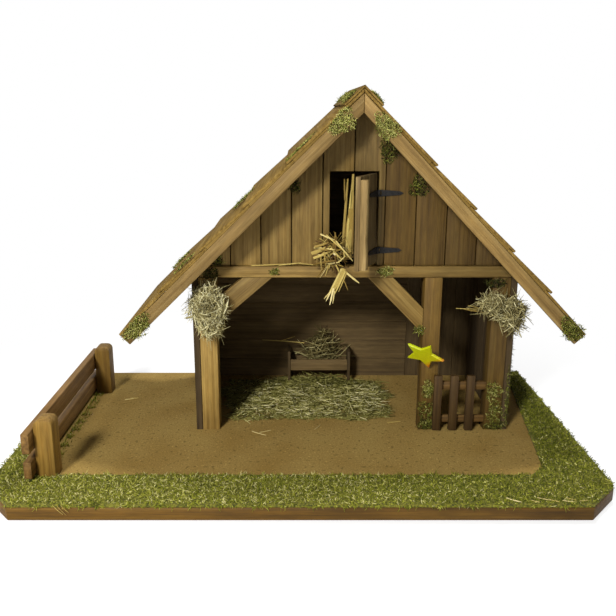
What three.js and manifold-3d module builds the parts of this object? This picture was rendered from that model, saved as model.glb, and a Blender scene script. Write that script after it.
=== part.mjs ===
// Wooden nativity stable on a landscaped base board, in millimetres.
// Origin: centre of the base board's underside. +X runs right, +Y back, +Z up.
// Heights named ..._HEIGHT are taken from the top of the base board.
import * as THREE from 'three';
import { mergeVertices } from 'three/addons/utils/BufferGeometryUtils.js';
import Module from 'manifold-3d';

const wasm = await Module();
wasm.setup();

// Clearances
const GLUE_LINE = 0.3;
const GROUND_CUT_CLEARANCE = 0.5;
const CUT_OVERRUN = 1;

// Facets on round pieces
const CORNER_SEGMENTS = 6;
const PIN_SEGMENTS = 16;
const PEG_SEGMENTS = 10;
const TUFT_SEGMENTS = 14;

// Base board and the ground laid on it
const BASE_WIDTH = 700;
const BASE_DEPTH = 410;
const BASE_THICKNESS = 15;
const BASE_CORNER_WIDTH = 38;
const BASE_CORNER_DEPTH = 42;
const GROUND_EDGE_INSET = 1;
const SAND_THICKNESS = 1.5;
const TURF_THICKNESS = 4;
const TURF_FRONT_DEPTH = 66;
const TURF_LEFT_WIDTH = 45;
const TURF_RIGHT_FRONT_WIDTH = 65;
const TURF_RIGHT_REAR_WIDTH = 20;
const TURF_BEND_WIDTH = 20;
const TURF_BEND_DEPTH = 18;

// Stable carcass
const STABLE_WIDTH = 407;
const STABLE_RIGHT_MARGIN = 78;
const STABLE_DEPTH = 211;
const STABLE_REAR_MARGIN = 4;
const WALL_THICKNESS = 8;
const POST_SECTION = 22;
const POST_HEIGHT = 206;
const INNER_POST_FROM_RIGHT_POST = 63.5;
const BEAM_DEPTH = 22;
const BEAM_THICKNESS = 14;
const LOFT_FLOOR_THICKNESS = 6;

// Braces between posts and beam
const BRACE_THICKNESS = 14;
const BRACE_RECESS = 1;
const LEFT_BRACE = { foot: 145, reach: 70, width: 24 };
const RIGHT_BRACE = { foot: 133, reach: 71, width: 22.5 };

// Gable boarding and the hatch opening
const GABLE_BOARD_THICKNESS = 6;
const GABLE_BOARD_WIDTH = 38;
const GABLE_BOARD_GAP = 1.2;
const GABLE_BOARDS_PER_SIDE = 5;
const BEAM_LEDGE = 4;
const HATCH_OFFSET_X = -2.5;
const HATCH_WIDTH = 59.5;
const HATCH_OPENING_HEIGHT = 116;

// Roof
const RIDGE_OFFSET_X = 3.5;
const RIDGE_HEIGHT = 425.7;
const LEFT_ROOF = { riseAtWall: 10.5, eaveOverhang: 90.5 };
const RIGHT_ROOF = { riseAtWall: 6, eaveOverhang: 81 };
const ROOF_FRONT_OVERHANG = 40;
const ROOF_REAR_OVERHANG = 3;
const BARGE_WIDTH = 15;
const BARGE_THICKNESS = 8;
const COURSE_COUNT = 5;
const COURSE_THICKNESS = 3.2;
const COURSE_LAP = 8;
const TOP_COURSE_EXPOSURE = 117;
const RIDGE_CAP_WIDTH = 25;
const RIDGE_CAP_THICKNESS = 2.5;

// Hatch leaf and its two strap hinges
const LEAF_THICKNESS = 6;
const LEAF_SIDE_CLEARANCE = 1.7;
const LEAF_TOP_CLEARANCE = 2;
const LEAF_BOTTOM_CLEARANCE = 4;
const LEAF_OPEN_ANGLE = THREE.MathUtils.degToRad(64);
const HINGE_AXIS_FORWARD = 2;
const HINGE_HEIGHTS = { upper: 90, lower: 20 };
const STRAP_LENGTH = 30;
const STRAP_THICKNESS = 1.2;
const STRAP_ROOT_WIDTH = 8.1;
const STRAP_TIP_WIDTH = 4.4;
const STRAP_POINT_LENGTH = 4;
const STRAP_ROOT_SETBACK = 3.2;
const HINGE_PIN_RADIUS = 1;
const HINGE_PIN_CLEARANCE = 0.1;
const KNUCKLE_RADIUS = 1.9;
const EYE_LENGTH = 3.5;
const KNUCKLE_GAP = 0.3;

// Fence along the left edge
const FENCE_LEFT_MARGIN = 41;
const FENCE_POST_WIDTH = 21.5;
const FENCE_POST_DEPTH = 24;
const FENCE_POST_HEIGHT = 72;
const FENCE_POST_CORNER = 7;
const FENCE_FRONT_SETBACK = 62;
const FENCE_REAR_SETBACK = 64;
const FENCE_RAIL_THICKNESS = 9;
const FENCE_RAIL_FRONT_END = 14;
const FENCE_RAIL_REAR_END = 6;
const FENCE_TOP_RAIL = { bottom: 38, width: 24 };
const FENCE_LOWER_RAIL = { bottom: 8, width: 20 };

// Picket fence across the right bay
const PICKET_COUNT = 3;
const PICKET_WIDTH = 10.5;
const PICKET_THICKNESS = 6;
const PICKET_HEIGHT = 78;
const PICKET_GROUND_CLEARANCE = 1;
const PICKET_RAIL_THICKNESS = 5;
const PICKET_TOP_RAIL = { bottom: 57, width: 11 };
const PICKET_LOWER_RAIL = { bottom: 12, width: 9 };

// Manger by the back wall
const MANGER_OFFSET_X = -38;
const MANGER_LENGTH = 95;
const MANGER_DEPTH = 30;
const MANGER_REAR_CLEARANCE = 4;
const MANGER_END_THICKNESS = 4;
const MANGER_END_HEIGHT = 52;
const MANGER_LEG_WIDTH = 6;
const MANGER_LEG_ARCH = 20;
const MANGER_TROUGH_BOTTOM = 22;
const MANGER_TROUGH_DEPTH = 17;
const MANGER_BOARD_THICKNESS = 3.5;

// Star on its peg, in front of the inner post
const STAR_POINTS = 5;
const STAR_RADIUS = 25.8;
const STAR_NOTCH_RADIUS = 12.9;
const STAR_THICKNESS = 4;
const STAR_BEVEL = 1.2;
const STAR_CENTRE_HEIGHT = 110;
const STAR_STANDOFF = 16;
const STAR_TURN = THREE.MathUtils.degToRad(132);
const STAR_LEAN = THREE.MathUtils.degToRad(-37);
const STAR_YAW = THREE.MathUtils.degToRad(-29.5);
const STAR_PEG_RADIUS = 1.6;
const STAR_PEG_FROM_POST_EDGE = 7;

// Hay and straw
const SOFT_CLEARANCE = 0.6;
const STRAW_BED_WIDTH = 226;
const STRAW_BED_THICKNESS = 3.5;
const STRAW_BED_SETBACK = 38;
const STRAW_BED_OFFSET_X = -61;
const STRAW_BED_POINTS = 28;
const STRAW_BED_SQUARENESS = 0.55;
const STRAW_BED_WAVES = [{ count: 5, depth: 0.045 }, { count: 11, depth: 0.025 }];
const MANGER_HAY_HEIGHT = 88;
const LEFT_TUFT = { offsetX: 10, drop: 85, height: 92, width: 56, bulge: 24 };
const RIGHT_TUFT = { offsetX: -3.5, drop: 72, height: 65, width: 72, bulge: 24 };
const HATCH_STRAW_DEPTH_OUT = 19;
const HATCH_STRAW_DEPTH_IN = 18;
const HATCH_STRAW_TOP = 40;
const HATCH_STRAW_DROP = 10;
const HATCH_STRAW_SIDE_REACH = 12;
const HATCH_STRAW_WIDTH = 24;
const HATCH_WISP = { length: 44, width: 12, thickness: 3, offsetX: 9.5, drop: 23 };
const HATCH_WISP_TILT = THREE.MathUtils.degToRad(23);
const NARROW_BLADE = { foot: 16.5, head: 23, width: 4 };
const WIDE_BLADE = { foot: 26, head: 29, width: 9 };
const BLADE_TOP_CLEARANCE = 3;
const BLADE_THICKNESS = 3;

// Soft outlines, as shares of a lump's width and height
const mangerHayShares = [
  [0, 0], [1, 0], [1, 0.35], [0.8, 0.6], [0.66, 1], [0.36, 0.9], [0.17, 0.5], [0, 0.35],
];
const tuftShares = [
  [0, 0], [0.62, 0.02], [0.86, 0.22], [1, 0.45], [0.78, 0.7], [0.42, 0.94], [0, 1],
];

// Surface colours, one material per mesh
const FINISHES = {
  basePaint: { color: 0x5b3520, roughness: 0.6, metalness: 0 },
  sand: { color: 0x7d5c3a, roughness: 0.95, metalness: 0 },
  turf: { color: 0x6f7a2c, roughness: 1, metalness: 0 },
  timber: { color: 0x7a5a38, roughness: 0.75, metalness: 0 },
  darkTimber: { color: 0x553c28, roughness: 0.8, metalness: 0 },
  paleTimber: { color: 0x93744a, roughness: 0.75, metalness: 0 },
  iron: { color: 0x25262a, roughness: 0.5, metalness: 0.8 },
  star: { color: 0xe0d418, roughness: 0.45, metalness: 0 },
  straw: { color: 0xcdb974, roughness: 0.85, metalness: 0 },
  hay: { color: 0xa89a63, roughness: 0.95, metalness: 0 },
};

// Places worked out from the sizes above
const floorZ = BASE_THICKNESS;
const halfWidth = BASE_WIDTH / 2;
const halfDepth = BASE_DEPTH / 2;
const backWallRearY = halfDepth - STABLE_REAR_MARGIN;
const backWallFrontY = backWallRearY - WALL_THICKNESS;
const stableFrontY = backWallRearY - STABLE_DEPTH;
const rightWallX = halfWidth - STABLE_RIGHT_MARGIN;
const leftWallX = rightWallX - STABLE_WIDTH;
const stableCentreX = (leftWallX + rightWallX) / 2;
const roomLeftX = leftWallX + WALL_THICKNESS;
const roomRightX = rightWallX - WALL_THICKNESS;
const leftPostX = roomLeftX + GLUE_LINE;
const rightPostX = roomRightX - GLUE_LINE - POST_SECTION;
const innerPostX = rightPostX - INNER_POST_FROM_RIGHT_POST - POST_SECTION;
const beamBottomZ = floorZ + POST_HEIGHT;
const beamTopZ = beamBottomZ + BEAM_THICKNESS;
const gableFrontY = stableFrontY + BEAM_LEDGE;
const gableBackY = gableFrontY + GABLE_BOARD_THICKNESS;
const hatchCentreX = stableCentreX + HATCH_OFFSET_X;
const hatchLeftX = hatchCentreX - HATCH_WIDTH / 2;
const hatchRightX = hatchCentreX + HATCH_WIDTH / 2;
const hatchTopZ = beamTopZ + HATCH_OPENING_HEIGHT;
const ridgeX = stableCentreX + RIDGE_OFFSET_X;
const ridgeZ = floorZ + RIDGE_HEIGHT;
const roofFrontY = stableFrontY - ROOF_FRONT_OVERHANG;
const roofRearY = backWallRearY + ROOF_REAR_OVERHANG;
const fenceRailOuterX = -halfWidth + FENCE_LEFT_MARGIN;
const fencePostX = fenceRailOuterX + FENCE_RAIL_THICKNESS + GLUE_LINE;
const fenceFrontY = -halfDepth + FENCE_FRONT_SETBACK;
const fenceRearY = halfDepth - FENCE_REAR_SETBACK;

const stable = new THREE.Group();

function addMesh(parent, name, geometry, finish) {
  const mesh = new THREE.Mesh(geometry, new THREE.MeshStandardMaterial(finish));
  mesh.name = name;
  parent.add(mesh);
  return mesh;
}

// A board with square corners, given by its lowest and highest corners.
function addBoard(parent, name, low, high, finish) {
  const size = high.map((value, axis) => value - low[axis]);
  const mesh = addMesh(parent, name, new THREE.BoxGeometry(...size), finish);
  mesh.position.set(...low.map((value, axis) => value + size[axis] / 2));
}

function outline(points) {
  return new THREE.Shape(points.map(([x, y]) => new THREE.Vector2(x, y)));
}

function extrude(shape, depth) {
  return new THREE.ExtrudeGeometry(shape, {
    depth,
    bevelEnabled: false,
    curveSegments: CORNER_SEGMENTS,
  });
}

// An outline drawn in X and Z, seen from the front, run from frontY back to rearY.
function extrudeBack(shape, frontY, rearY) {
  const geometry = extrude(shape, rearY - frontY);
  geometry.rotateX(Math.PI / 2);
  geometry.translate(0, rearY, 0);
  return geometry;
}

// An outline drawn in Y and Z, seen from the right, run from leftX to rightX.
function extrudeRight(shape, leftX, rightX) {
  const geometry = extrude(shape, rightX - leftX);
  const turn = new THREE.Matrix4().makeBasis(
    new THREE.Vector3(0, 1, 0),
    new THREE.Vector3(0, 0, 1),
    new THREE.Vector3(1, 0, 0),
  );
  geometry.applyMatrix4(turn);
  geometry.translate(leftX, 0, 0);
  return geometry;
}

// An outline drawn in X and Y, seen from above, run from bottomZ to topZ.
function extrudeUp(shape, bottomZ, topZ) {
  const geometry = extrude(shape, topZ - bottomZ);
  geometry.translate(0, 0, bottomZ);
  return geometry;
}

function boxBetween(low, high) {
  const size = high.map((value, axis) => value - low[axis]);
  const geometry = new THREE.BoxGeometry(...size);
  geometry.translate(...low.map((value, axis) => value + size[axis] / 2));
  return geometry;
}

function toSolid(geometry) {
  const bare = geometry.clone();
  bare.deleteAttribute('normal');
  bare.deleteAttribute('uv');
  const merged = mergeVertices(bare);
  const mesh = new wasm.Mesh({
    numProp: 3,
    vertProperties: new Float32Array(merged.attributes.position.array),
    triVerts: new Uint32Array(merged.index.array),
  });
  return new wasm.Manifold(mesh);
}

function toGeometry(solid) {
  const mesh = solid.getMesh();
  const geometry = new THREE.BufferGeometry();
  geometry.setAttribute('position', new THREE.BufferAttribute(mesh.vertProperties, 3));
  geometry.setIndex(new THREE.BufferAttribute(mesh.triVerts, 1));
  geometry.computeVertexNormals();
  return geometry;
}

function joined(geometries) {
  return toGeometry(geometries.map(toSolid).reduce((sum, solid) => sum.add(solid)));
}

function cut(geometry, cutters) {
  const whole = toSolid(geometry);
  return toGeometry(cutters.map(toSolid).reduce((rest, solid) => rest.subtract(solid), whole));
}

// The roof planes: the undersides of the roof boards lie on them.
const roofSides = {
  left: roofSide(-1, ridgeX - roomLeftX, LEFT_ROOF),
  right: roofSide(1, roomRightX - ridgeX, RIGHT_ROOF),
};

// One slope, from the ridge over the wall's inner face and on to its eave.
function roofSide(sign, run, roof) {
  const drop = ridgeZ - beamTopZ - roof.riseAtWall;
  const angle = Math.atan2(drop, run);
  const cos = Math.cos(angle);
  return { sign, length: (run + roof.eaveOverhang) / cos, cos, sin: Math.sin(angle) };
}

// A point on a roof side: down the slope from the ridge, then up square to the slope.
function roofPoint(side, down, up) {
  const across = down * side.cos + up * side.sin;
  const rise = up * side.cos - down * side.sin;
  return [ridgeX + side.sign * across, ridgeZ + rise];
}

// How far down the slope a board starts, to leave half a glue line at the ridge's mitre.
function mitreStart(side, up) {
  return (GLUE_LINE / 2 - up * side.sin) / side.cos;
}

// Height of the roof plane above a place in X, less a clearance square to the slope.
function roofZ(x, clearance) {
  const side = x < ridgeX ? roofSides.left : roofSides.right;
  return ridgeZ - (Math.abs(x - ridgeX) * side.sin + clearance) / side.cos;
}

// The outline of a board that stands under the roof, from bottomZ up to the roof plane.
function gableOutline(leftX, rightX, bottomZ) {
  const top = [[rightX, roofZ(rightX, GLUE_LINE)]];
  if (leftX < ridgeX && ridgeX < rightX) {
    top.push([ridgeX, roofZ(ridgeX, GLUE_LINE)]);
  }
  top.push([leftX, roofZ(leftX, GLUE_LINE)]);
  return [[leftX, bottomZ], [rightX, bottomZ], ...top];
}

function addBaseBoard() {
  const shape = outline([
    [-halfWidth, halfDepth],
    [-halfWidth, -halfDepth + BASE_CORNER_DEPTH],
    [-halfWidth + BASE_CORNER_WIDTH, -halfDepth],
    [halfWidth - BASE_CORNER_WIDTH, -halfDepth],
    [halfWidth, -halfDepth + BASE_CORNER_DEPTH],
    [halfWidth, halfDepth],
  ]);
  addMesh(stable, 'base_board', extrudeUp(shape, 0, BASE_THICKNESS), FINISHES.basePaint);
}

// Everything that stands on the base board and so passes through the ground laid on it.
function standingFootprints() {
  const postDepth = stableFrontY + POST_SECTION;
  const fencePostRight = fencePostX + FENCE_POST_WIDTH;
  return [
    [[leftWallX, stableFrontY], [roomLeftX, backWallFrontY]],
    [[roomRightX, stableFrontY], [rightWallX, backWallFrontY]],
    [[leftWallX, backWallFrontY], [rightWallX, backWallRearY]],
    [[leftPostX, stableFrontY], [leftPostX + POST_SECTION, postDepth]],
    [[innerPostX, stableFrontY], [innerPostX + POST_SECTION, postDepth]],
    [[rightPostX, stableFrontY], [rightPostX + POST_SECTION, postDepth]],
    [[fencePostX, fenceFrontY], [fencePostRight, fenceFrontY + FENCE_POST_DEPTH]],
    [[fencePostX, fenceRearY - FENCE_POST_DEPTH], [fencePostRight, fenceRearY]],
  ];
}

function cutForStandingPieces(geometry) {
  const low = floorZ - CUT_OVERRUN;
  const high = floorZ + TURF_THICKNESS + CUT_OVERRUN;
  const cutters = standingFootprints().map(([near, far]) => boxBetween(
    [near[0] - GROUND_CUT_CLEARANCE, near[1] - GROUND_CUT_CLEARANCE, low],
    [far[0] + GROUND_CUT_CLEARANCE, far[1] + GROUND_CUT_CLEARANCE, high],
  ));
  return cut(geometry, cutters);
}

function addGround() {
  const edgeX = halfWidth - GROUND_EDGE_INSET;
  const edgeY = halfDepth - GROUND_EDGE_INSET;
  const turfFrontInnerY = -halfDepth + TURF_FRONT_DEPTH;
  const turfLeftInnerX = -halfWidth + TURF_LEFT_WIDTH;
  const bendX = halfWidth - TURF_RIGHT_FRONT_WIDTH;
  const bendY = turfFrontInnerY + TURF_BEND_DEPTH;
  const rearX = halfWidth - TURF_RIGHT_REAR_WIDTH;
  const turf = outline([
    [-edgeX, edgeY],
    [-edgeX, -halfDepth + BASE_CORNER_DEPTH],
    [-halfWidth + BASE_CORNER_WIDTH, -edgeY],
    [halfWidth - BASE_CORNER_WIDTH, -edgeY],
    [edgeX, -halfDepth + BASE_CORNER_DEPTH],
    [edgeX, edgeY],
    [rearX, edgeY],
    [bendX, bendY],
    [bendX - TURF_BEND_WIDTH, turfFrontInnerY],
    [turfLeftInnerX, turfFrontInnerY],
    [turfLeftInnerX, edgeY],
  ]);
  const sand = outline([
    [turfLeftInnerX + GLUE_LINE, turfFrontInnerY + GLUE_LINE],
    [bendX - TURF_BEND_WIDTH - GLUE_LINE, turfFrontInnerY + GLUE_LINE],
    [bendX - 2 * GLUE_LINE, bendY],
    [rearX - 2 * GLUE_LINE, edgeY],
    [turfLeftInnerX + GLUE_LINE, edgeY],
  ]);
  const bottom = floorZ + GLUE_LINE / 2;
  addMesh(
    stable,
    'turf',
    cutForStandingPieces(extrudeUp(turf, bottom, floorZ + TURF_THICKNESS)),
    FINISHES.turf,
  );
  addMesh(
    stable,
    'sand_ground',
    cutForStandingPieces(extrudeUp(sand, bottom, floorZ + SAND_THICKNESS)),
    FINISHES.sand,
  );
}

function addPosts() {
  const posts = { left_post: leftPostX, inner_post: innerPostX, right_post: rightPostX };
  for (const [name, x] of Object.entries(posts)) {
    addBoard(
      stable,
      name,
      [x, stableFrontY, floorZ + GLUE_LINE],
      [x + POST_SECTION, stableFrontY + POST_SECTION, beamBottomZ - GLUE_LINE],
      FINISHES.timber,
    );
  }
}

function addBeamAndLoft() {
  const left = roomLeftX + GLUE_LINE;
  const right = roomRightX - GLUE_LINE;
  const beamRearY = stableFrontY + BEAM_DEPTH;
  addBoard(
    stable,
    'front_beam',
    [left, stableFrontY, beamBottomZ],
    [right, beamRearY, beamTopZ],
    FINISHES.timber,
  );
  addBoard(
    stable,
    'loft_floor',
    [left, beamRearY + GLUE_LINE, beamTopZ - LOFT_FLOOR_THICKNESS],
    [right, backWallFrontY - GLUE_LINE, beamTopZ],
    FINISHES.darkTimber,
  );
}

// A brace from a post's face up to the beam, leaning away from the post by sign.
function addBrace(name, postFaceX, sign, brace) {
  const footX = postFaceX + sign * GLUE_LINE;
  const footZ = floorZ + brace.foot;
  const topZ = beamBottomZ - GLUE_LINE;
  const angle = Math.atan2(topZ - footZ, brace.reach);
  const shape = outline([
    [footX, footZ],
    [footX + sign * brace.reach, topZ],
    [footX + sign * (brace.reach - brace.width / Math.sin(angle)), topZ],
    [footX, footZ + brace.width / Math.cos(angle)],
  ]);
  const frontY = stableFrontY + BRACE_RECESS;
  addMesh(stable, name, extrudeBack(shape, frontY, frontY + BRACE_THICKNESS), FINISHES.timber);
}

function addWalls() {
  const bottomZ = floorZ + GLUE_LINE;
  const sideRearY = backWallFrontY - GLUE_LINE;
  const walls = {
    left_wall: [leftWallX, roomLeftX, stableFrontY, sideRearY],
    right_wall: [roomRightX, rightWallX, stableFrontY, sideRearY],
    back_wall: [leftWallX, rightWallX, backWallFrontY, backWallRearY],
  };
  for (const [name, [leftX, rightX, frontY, rearY]] of Object.entries(walls)) {
    const shape = outline(gableOutline(leftX, rightX, bottomZ));
    addMesh(stable, name, extrudeBack(shape, frontY, rearY), FINISHES.darkTimber);
  }
}

// The outline of one gable board, with its share of the hatch opening cut away.
function gableBoardOutline(leftX, rightX) {
  const bottomZ = beamTopZ + GLUE_LINE;
  const points = gableOutline(leftX, rightX, bottomZ);
  if (rightX > hatchLeftX && rightX <= hatchCentreX) {
    points.splice(1, 1, [hatchLeftX, bottomZ], [hatchLeftX, hatchTopZ], [rightX, hatchTopZ]);
  }
  if (leftX < hatchRightX && leftX >= hatchCentreX) {
    points.splice(0, 1, [leftX, hatchTopZ], [hatchRightX, hatchTopZ], [hatchRightX, bottomZ]);
  }
  return points;
}

function addGableBoards() {
  const count = 2 * GABLE_BOARDS_PER_SIDE;
  for (let index = 0; index < count; index += 1) {
    const seam = hatchCentreX + (index - GABLE_BOARDS_PER_SIDE) * GABLE_BOARD_WIDTH;
    const leftX = index === 0 ? roomLeftX + GLUE_LINE : seam + GABLE_BOARD_GAP / 2;
    const rightX = index === count - 1
      ? roomRightX - GLUE_LINE
      : seam + GABLE_BOARD_WIDTH - GABLE_BOARD_GAP / 2;
    const shape = outline(gableBoardOutline(leftX, rightX));
    const name = `gable_board_${index + 1}`;
    addMesh(stable, name, extrudeBack(shape, gableFrontY, gableBackY), FINISHES.timber);
  }
}

function addRoofPiece(name, side, profile, finish, frontY, rearY) {
  const shape = outline(profile.map(([down, up]) => roofPoint(side, down, up)));
  addMesh(stable, name, extrudeBack(shape, frontY, rearY), finish);
}

function addBargeBoard(label, side) {
  const profile = [
    [mitreStart(side, 0), 0],
    [side.length, 0],
    [side.length, -BARGE_WIDTH],
    [mitreStart(side, -BARGE_WIDTH), -BARGE_WIDTH],
  ];
  const rearY = roofFrontY + BARGE_THICKNESS;
  addRoofPiece(`barge_board_${label}`, side, profile, FINISHES.paleTimber, roofFrontY, rearY);
}

// How high the underside of a lapped board's lower edge stands above the roof plane.
function lapLift(side) {
  const lowerLength = (side.length - TOP_COURSE_EXPOSURE) / (COURSE_COUNT - 1) + COURSE_LAP;
  return GLUE_LINE + (COURSE_THICKNESS + GLUE_LINE) / (1 - COURSE_LAP / lowerLength);
}

function addRoofCourses(label, side) {
  const exposure = (side.length - TOP_COURSE_EXPOSURE) / (COURSE_COUNT - 1);
  for (let index = 0; index < COURSE_COUNT; index += 1) {
    const end = TOP_COURSE_EXPOSURE + index * exposure;
    const lift = index === COURSE_COUNT - 1 ? GLUE_LINE : lapLift(side);
    const thick = COURSE_THICKNESS;
    const start = end - exposure - COURSE_LAP;
    const lowStart = index === 0 ? mitreStart(side, GLUE_LINE) : start;
    const highStart = index === 0 ? mitreStart(side, GLUE_LINE + thick) : start;
    const profile = [
      [lowStart, GLUE_LINE],
      [end, lift],
      [end, lift + thick],
      [highStart, GLUE_LINE + thick],
    ];
    const name = `roof_${label}_course_${index + 1}`;
    addRoofPiece(name, side, profile, FINISHES.timber, roofFrontY, roofRearY);
  }
}

function addRidgeCap(label, side) {
  const slope = (lapLift(side) - GLUE_LINE) / TOP_COURSE_EXPOSURE;
  const start = COURSE_THICKNESS + 2 * GLUE_LINE;
  const end = start + slope * RIDGE_CAP_WIDTH;
  const profile = [
    [mitreStart(side, start), start],
    [RIDGE_CAP_WIDTH, end],
    [RIDGE_CAP_WIDTH, end + RIDGE_CAP_THICKNESS],
    [mitreStart(side, start + RIDGE_CAP_THICKNESS), start + RIDGE_CAP_THICKNESS],
  ];
  addRoofPiece(`ridge_cap_${label}`, side, profile, FINISHES.timber, roofFrontY, roofRearY);
}

// A strap plate with a pointed tip: it starts at rootX and runs by sign along X.
function strapPlate(sign, centreZ, frontY) {
  const rootX = sign * STRAP_ROOT_SETBACK;
  const tipX = sign * STRAP_LENGTH;
  const shoulderX = tipX - sign * STRAP_POINT_LENGTH;
  const shape = outline([
    [rootX, centreZ - STRAP_ROOT_WIDTH / 2],
    [shoulderX, centreZ - STRAP_TIP_WIDTH / 2],
    [tipX, centreZ],
    [shoulderX, centreZ + STRAP_TIP_WIDTH / 2],
    [rootX, centreZ + STRAP_ROOT_WIDTH / 2],
  ]);
  return extrudeBack(shape, frontY, frontY + STRAP_THICKNESS);
}

// A round bar along the hinge axis, from bottomZ to topZ.
function axisBar(radius, bottomZ, topZ) {
  const geometry = new THREE.CylinderGeometry(radius, radius, topZ - bottomZ, PIN_SEGMENTS);
  geometry.rotateX(Math.PI / 2);
  geometry.translate(0, 0, (topZ + bottomZ) / 2);
  return geometry;
}

// The wall half of a hinge: plate, two knuckles and the pin riveted through them.
function wallStrap(centreZ, plateFrontY) {
  const reach = STRAP_ROOT_WIDTH / 2;
  const eyeEdge = EYE_LENGTH / 2 + KNUCKLE_GAP;
  const pieces = [
    strapPlate(1, centreZ, plateFrontY),
    axisBar(HINGE_PIN_RADIUS, centreZ - reach, centreZ + reach),
  ];
  for (const [low, high] of [[-reach, -eyeEdge], [eyeEdge, reach]]) {
    pieces.push(axisBar(KNUCKLE_RADIUS, centreZ + low, centreZ + high));
    pieces.push(boxBetween(
      [0, plateFrontY, centreZ + low],
      [STRAP_ROOT_SETBACK + STRAP_THICKNESS, plateFrontY + STRAP_THICKNESS, centreZ + high],
    ));
  }
  return joined(pieces);
}

// The leaf half of a hinge: plate, neck and the eye that turns on the pin.
function leafStrap(centreZ, plateFrontY) {
  const half = EYE_LENGTH / 2;
  const body = joined([
    strapPlate(-1, centreZ, plateFrontY),
    axisBar(KNUCKLE_RADIUS, centreZ - half, centreZ + half),
    boxBetween(
      [-STRAP_ROOT_SETBACK - STRAP_THICKNESS, plateFrontY, centreZ - half],
      [0, plateFrontY + STRAP_THICKNESS, centreZ + half],
    ),
  ]);
  const hole = axisBar(
    HINGE_PIN_RADIUS + HINGE_PIN_CLEARANCE,
    centreZ - STRAP_ROOT_WIDTH,
    centreZ + STRAP_ROOT_WIDTH,
  );
  return cut(body, [hole]);
}

// The leaf is drawn closed around its hinge axis and then swung open with its straps.
function addHatchDoor() {
  const axisY = gableFrontY - HINGE_AXIS_FORWARD;
  const fixed = new THREE.Group();
  fixed.position.set(hatchRightX, axisY, 0);
  const swinging = new THREE.Group();
  swinging.position.copy(fixed.position);
  swinging.rotation.z = LEAF_OPEN_ANGLE;
  const faceY = HINGE_AXIS_FORWARD;
  const leafWidth = HATCH_WIDTH - 2 * LEAF_SIDE_CLEARANCE;
  addBoard(
    swinging,
    'hatch_leaf',
    [-LEAF_SIDE_CLEARANCE - leafWidth, faceY, beamTopZ + LEAF_BOTTOM_CLEARANCE],
    [-LEAF_SIDE_CLEARANCE, faceY + LEAF_THICKNESS, hatchTopZ - LEAF_TOP_CLEARANCE],
    FINISHES.timber,
  );
  const plateFrontY = faceY - GLUE_LINE - STRAP_THICKNESS;
  for (const [label, height] of Object.entries(HINGE_HEIGHTS)) {
    const centreZ = beamTopZ + height;
    addMesh(fixed, `${label}_hinge_wall_strap`, wallStrap(centreZ, plateFrontY), FINISHES.iron);
    addMesh(swinging, `${label}_hinge_leaf_strap`, leafStrap(centreZ, plateFrontY), FINISHES.iron);
  }
  stable.add(fixed);
  stable.add(swinging);
}

// A fence post, seen from the front, with both top corners rounded.
function fencePostShape() {
  const left = fencePostX;
  const right = fencePostX + FENCE_POST_WIDTH;
  const bottom = floorZ + GLUE_LINE;
  const top = floorZ + FENCE_POST_HEIGHT;
  const corner = FENCE_POST_CORNER;
  const shape = new THREE.Shape();
  shape.moveTo(left, bottom);
  shape.lineTo(right, bottom);
  shape.lineTo(right, top - corner);
  shape.absarc(right - corner, top - corner, corner, 0, Math.PI / 2, false);
  shape.lineTo(left + corner, top);
  shape.absarc(left + corner, top - corner, corner, Math.PI / 2, Math.PI, false);
  shape.lineTo(left, bottom);
  return shape;
}

function addLeftFence() {
  const fronts = {
    fence_post_front: fenceFrontY,
    fence_post_rear: fenceRearY - FENCE_POST_DEPTH,
  };
  for (const [name, frontY] of Object.entries(fronts)) {
    const geometry = extrudeBack(fencePostShape(), frontY, frontY + FENCE_POST_DEPTH);
    addMesh(stable, name, geometry, FINISHES.timber);
  }
  const rails = { fence_rail_top: FENCE_TOP_RAIL, fence_rail_lower: FENCE_LOWER_RAIL };
  for (const [name, rail] of Object.entries(rails)) {
    const bottomZ = floorZ + rail.bottom;
    addBoard(
      stable,
      name,
      [fenceRailOuterX, fenceFrontY - FENCE_RAIL_FRONT_END, bottomZ],
      [fenceRailOuterX + FENCE_RAIL_THICKNESS, fenceRearY + FENCE_RAIL_REAR_END, bottomZ + rail.width],
      FINISHES.darkTimber,
    );
  }
}

function addPicketFence() {
  const leftX = innerPostX + POST_SECTION + GLUE_LINE;
  const rightX = rightPostX - GLUE_LINE;
  const rails = { picket_rail_top: PICKET_TOP_RAIL, picket_rail_lower: PICKET_LOWER_RAIL };
  for (const [name, rail] of Object.entries(rails)) {
    const bottomZ = floorZ + rail.bottom;
    addBoard(
      stable,
      name,
      [leftX, stableFrontY, bottomZ],
      [rightX, stableFrontY + PICKET_RAIL_THICKNESS, bottomZ + rail.width],
      FINISHES.darkTimber,
    );
  }
  const rearY = stableFrontY - GLUE_LINE;
  const bottomZ = floorZ + SAND_THICKNESS + PICKET_GROUND_CLEARANCE;
  for (let index = 0; index < PICKET_COUNT; index += 1) {
    const centreX = leftX + (index * (rightX - leftX)) / PICKET_COUNT;
    addBoard(
      stable,
      `picket_${index + 1}`,
      [centreX - PICKET_WIDTH / 2, rearY - PICKET_THICKNESS, bottomZ],
      [centreX + PICKET_WIDTH / 2, rearY, floorZ + PICKET_HEIGHT],
      FINISHES.timber,
    );
  }
}

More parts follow.
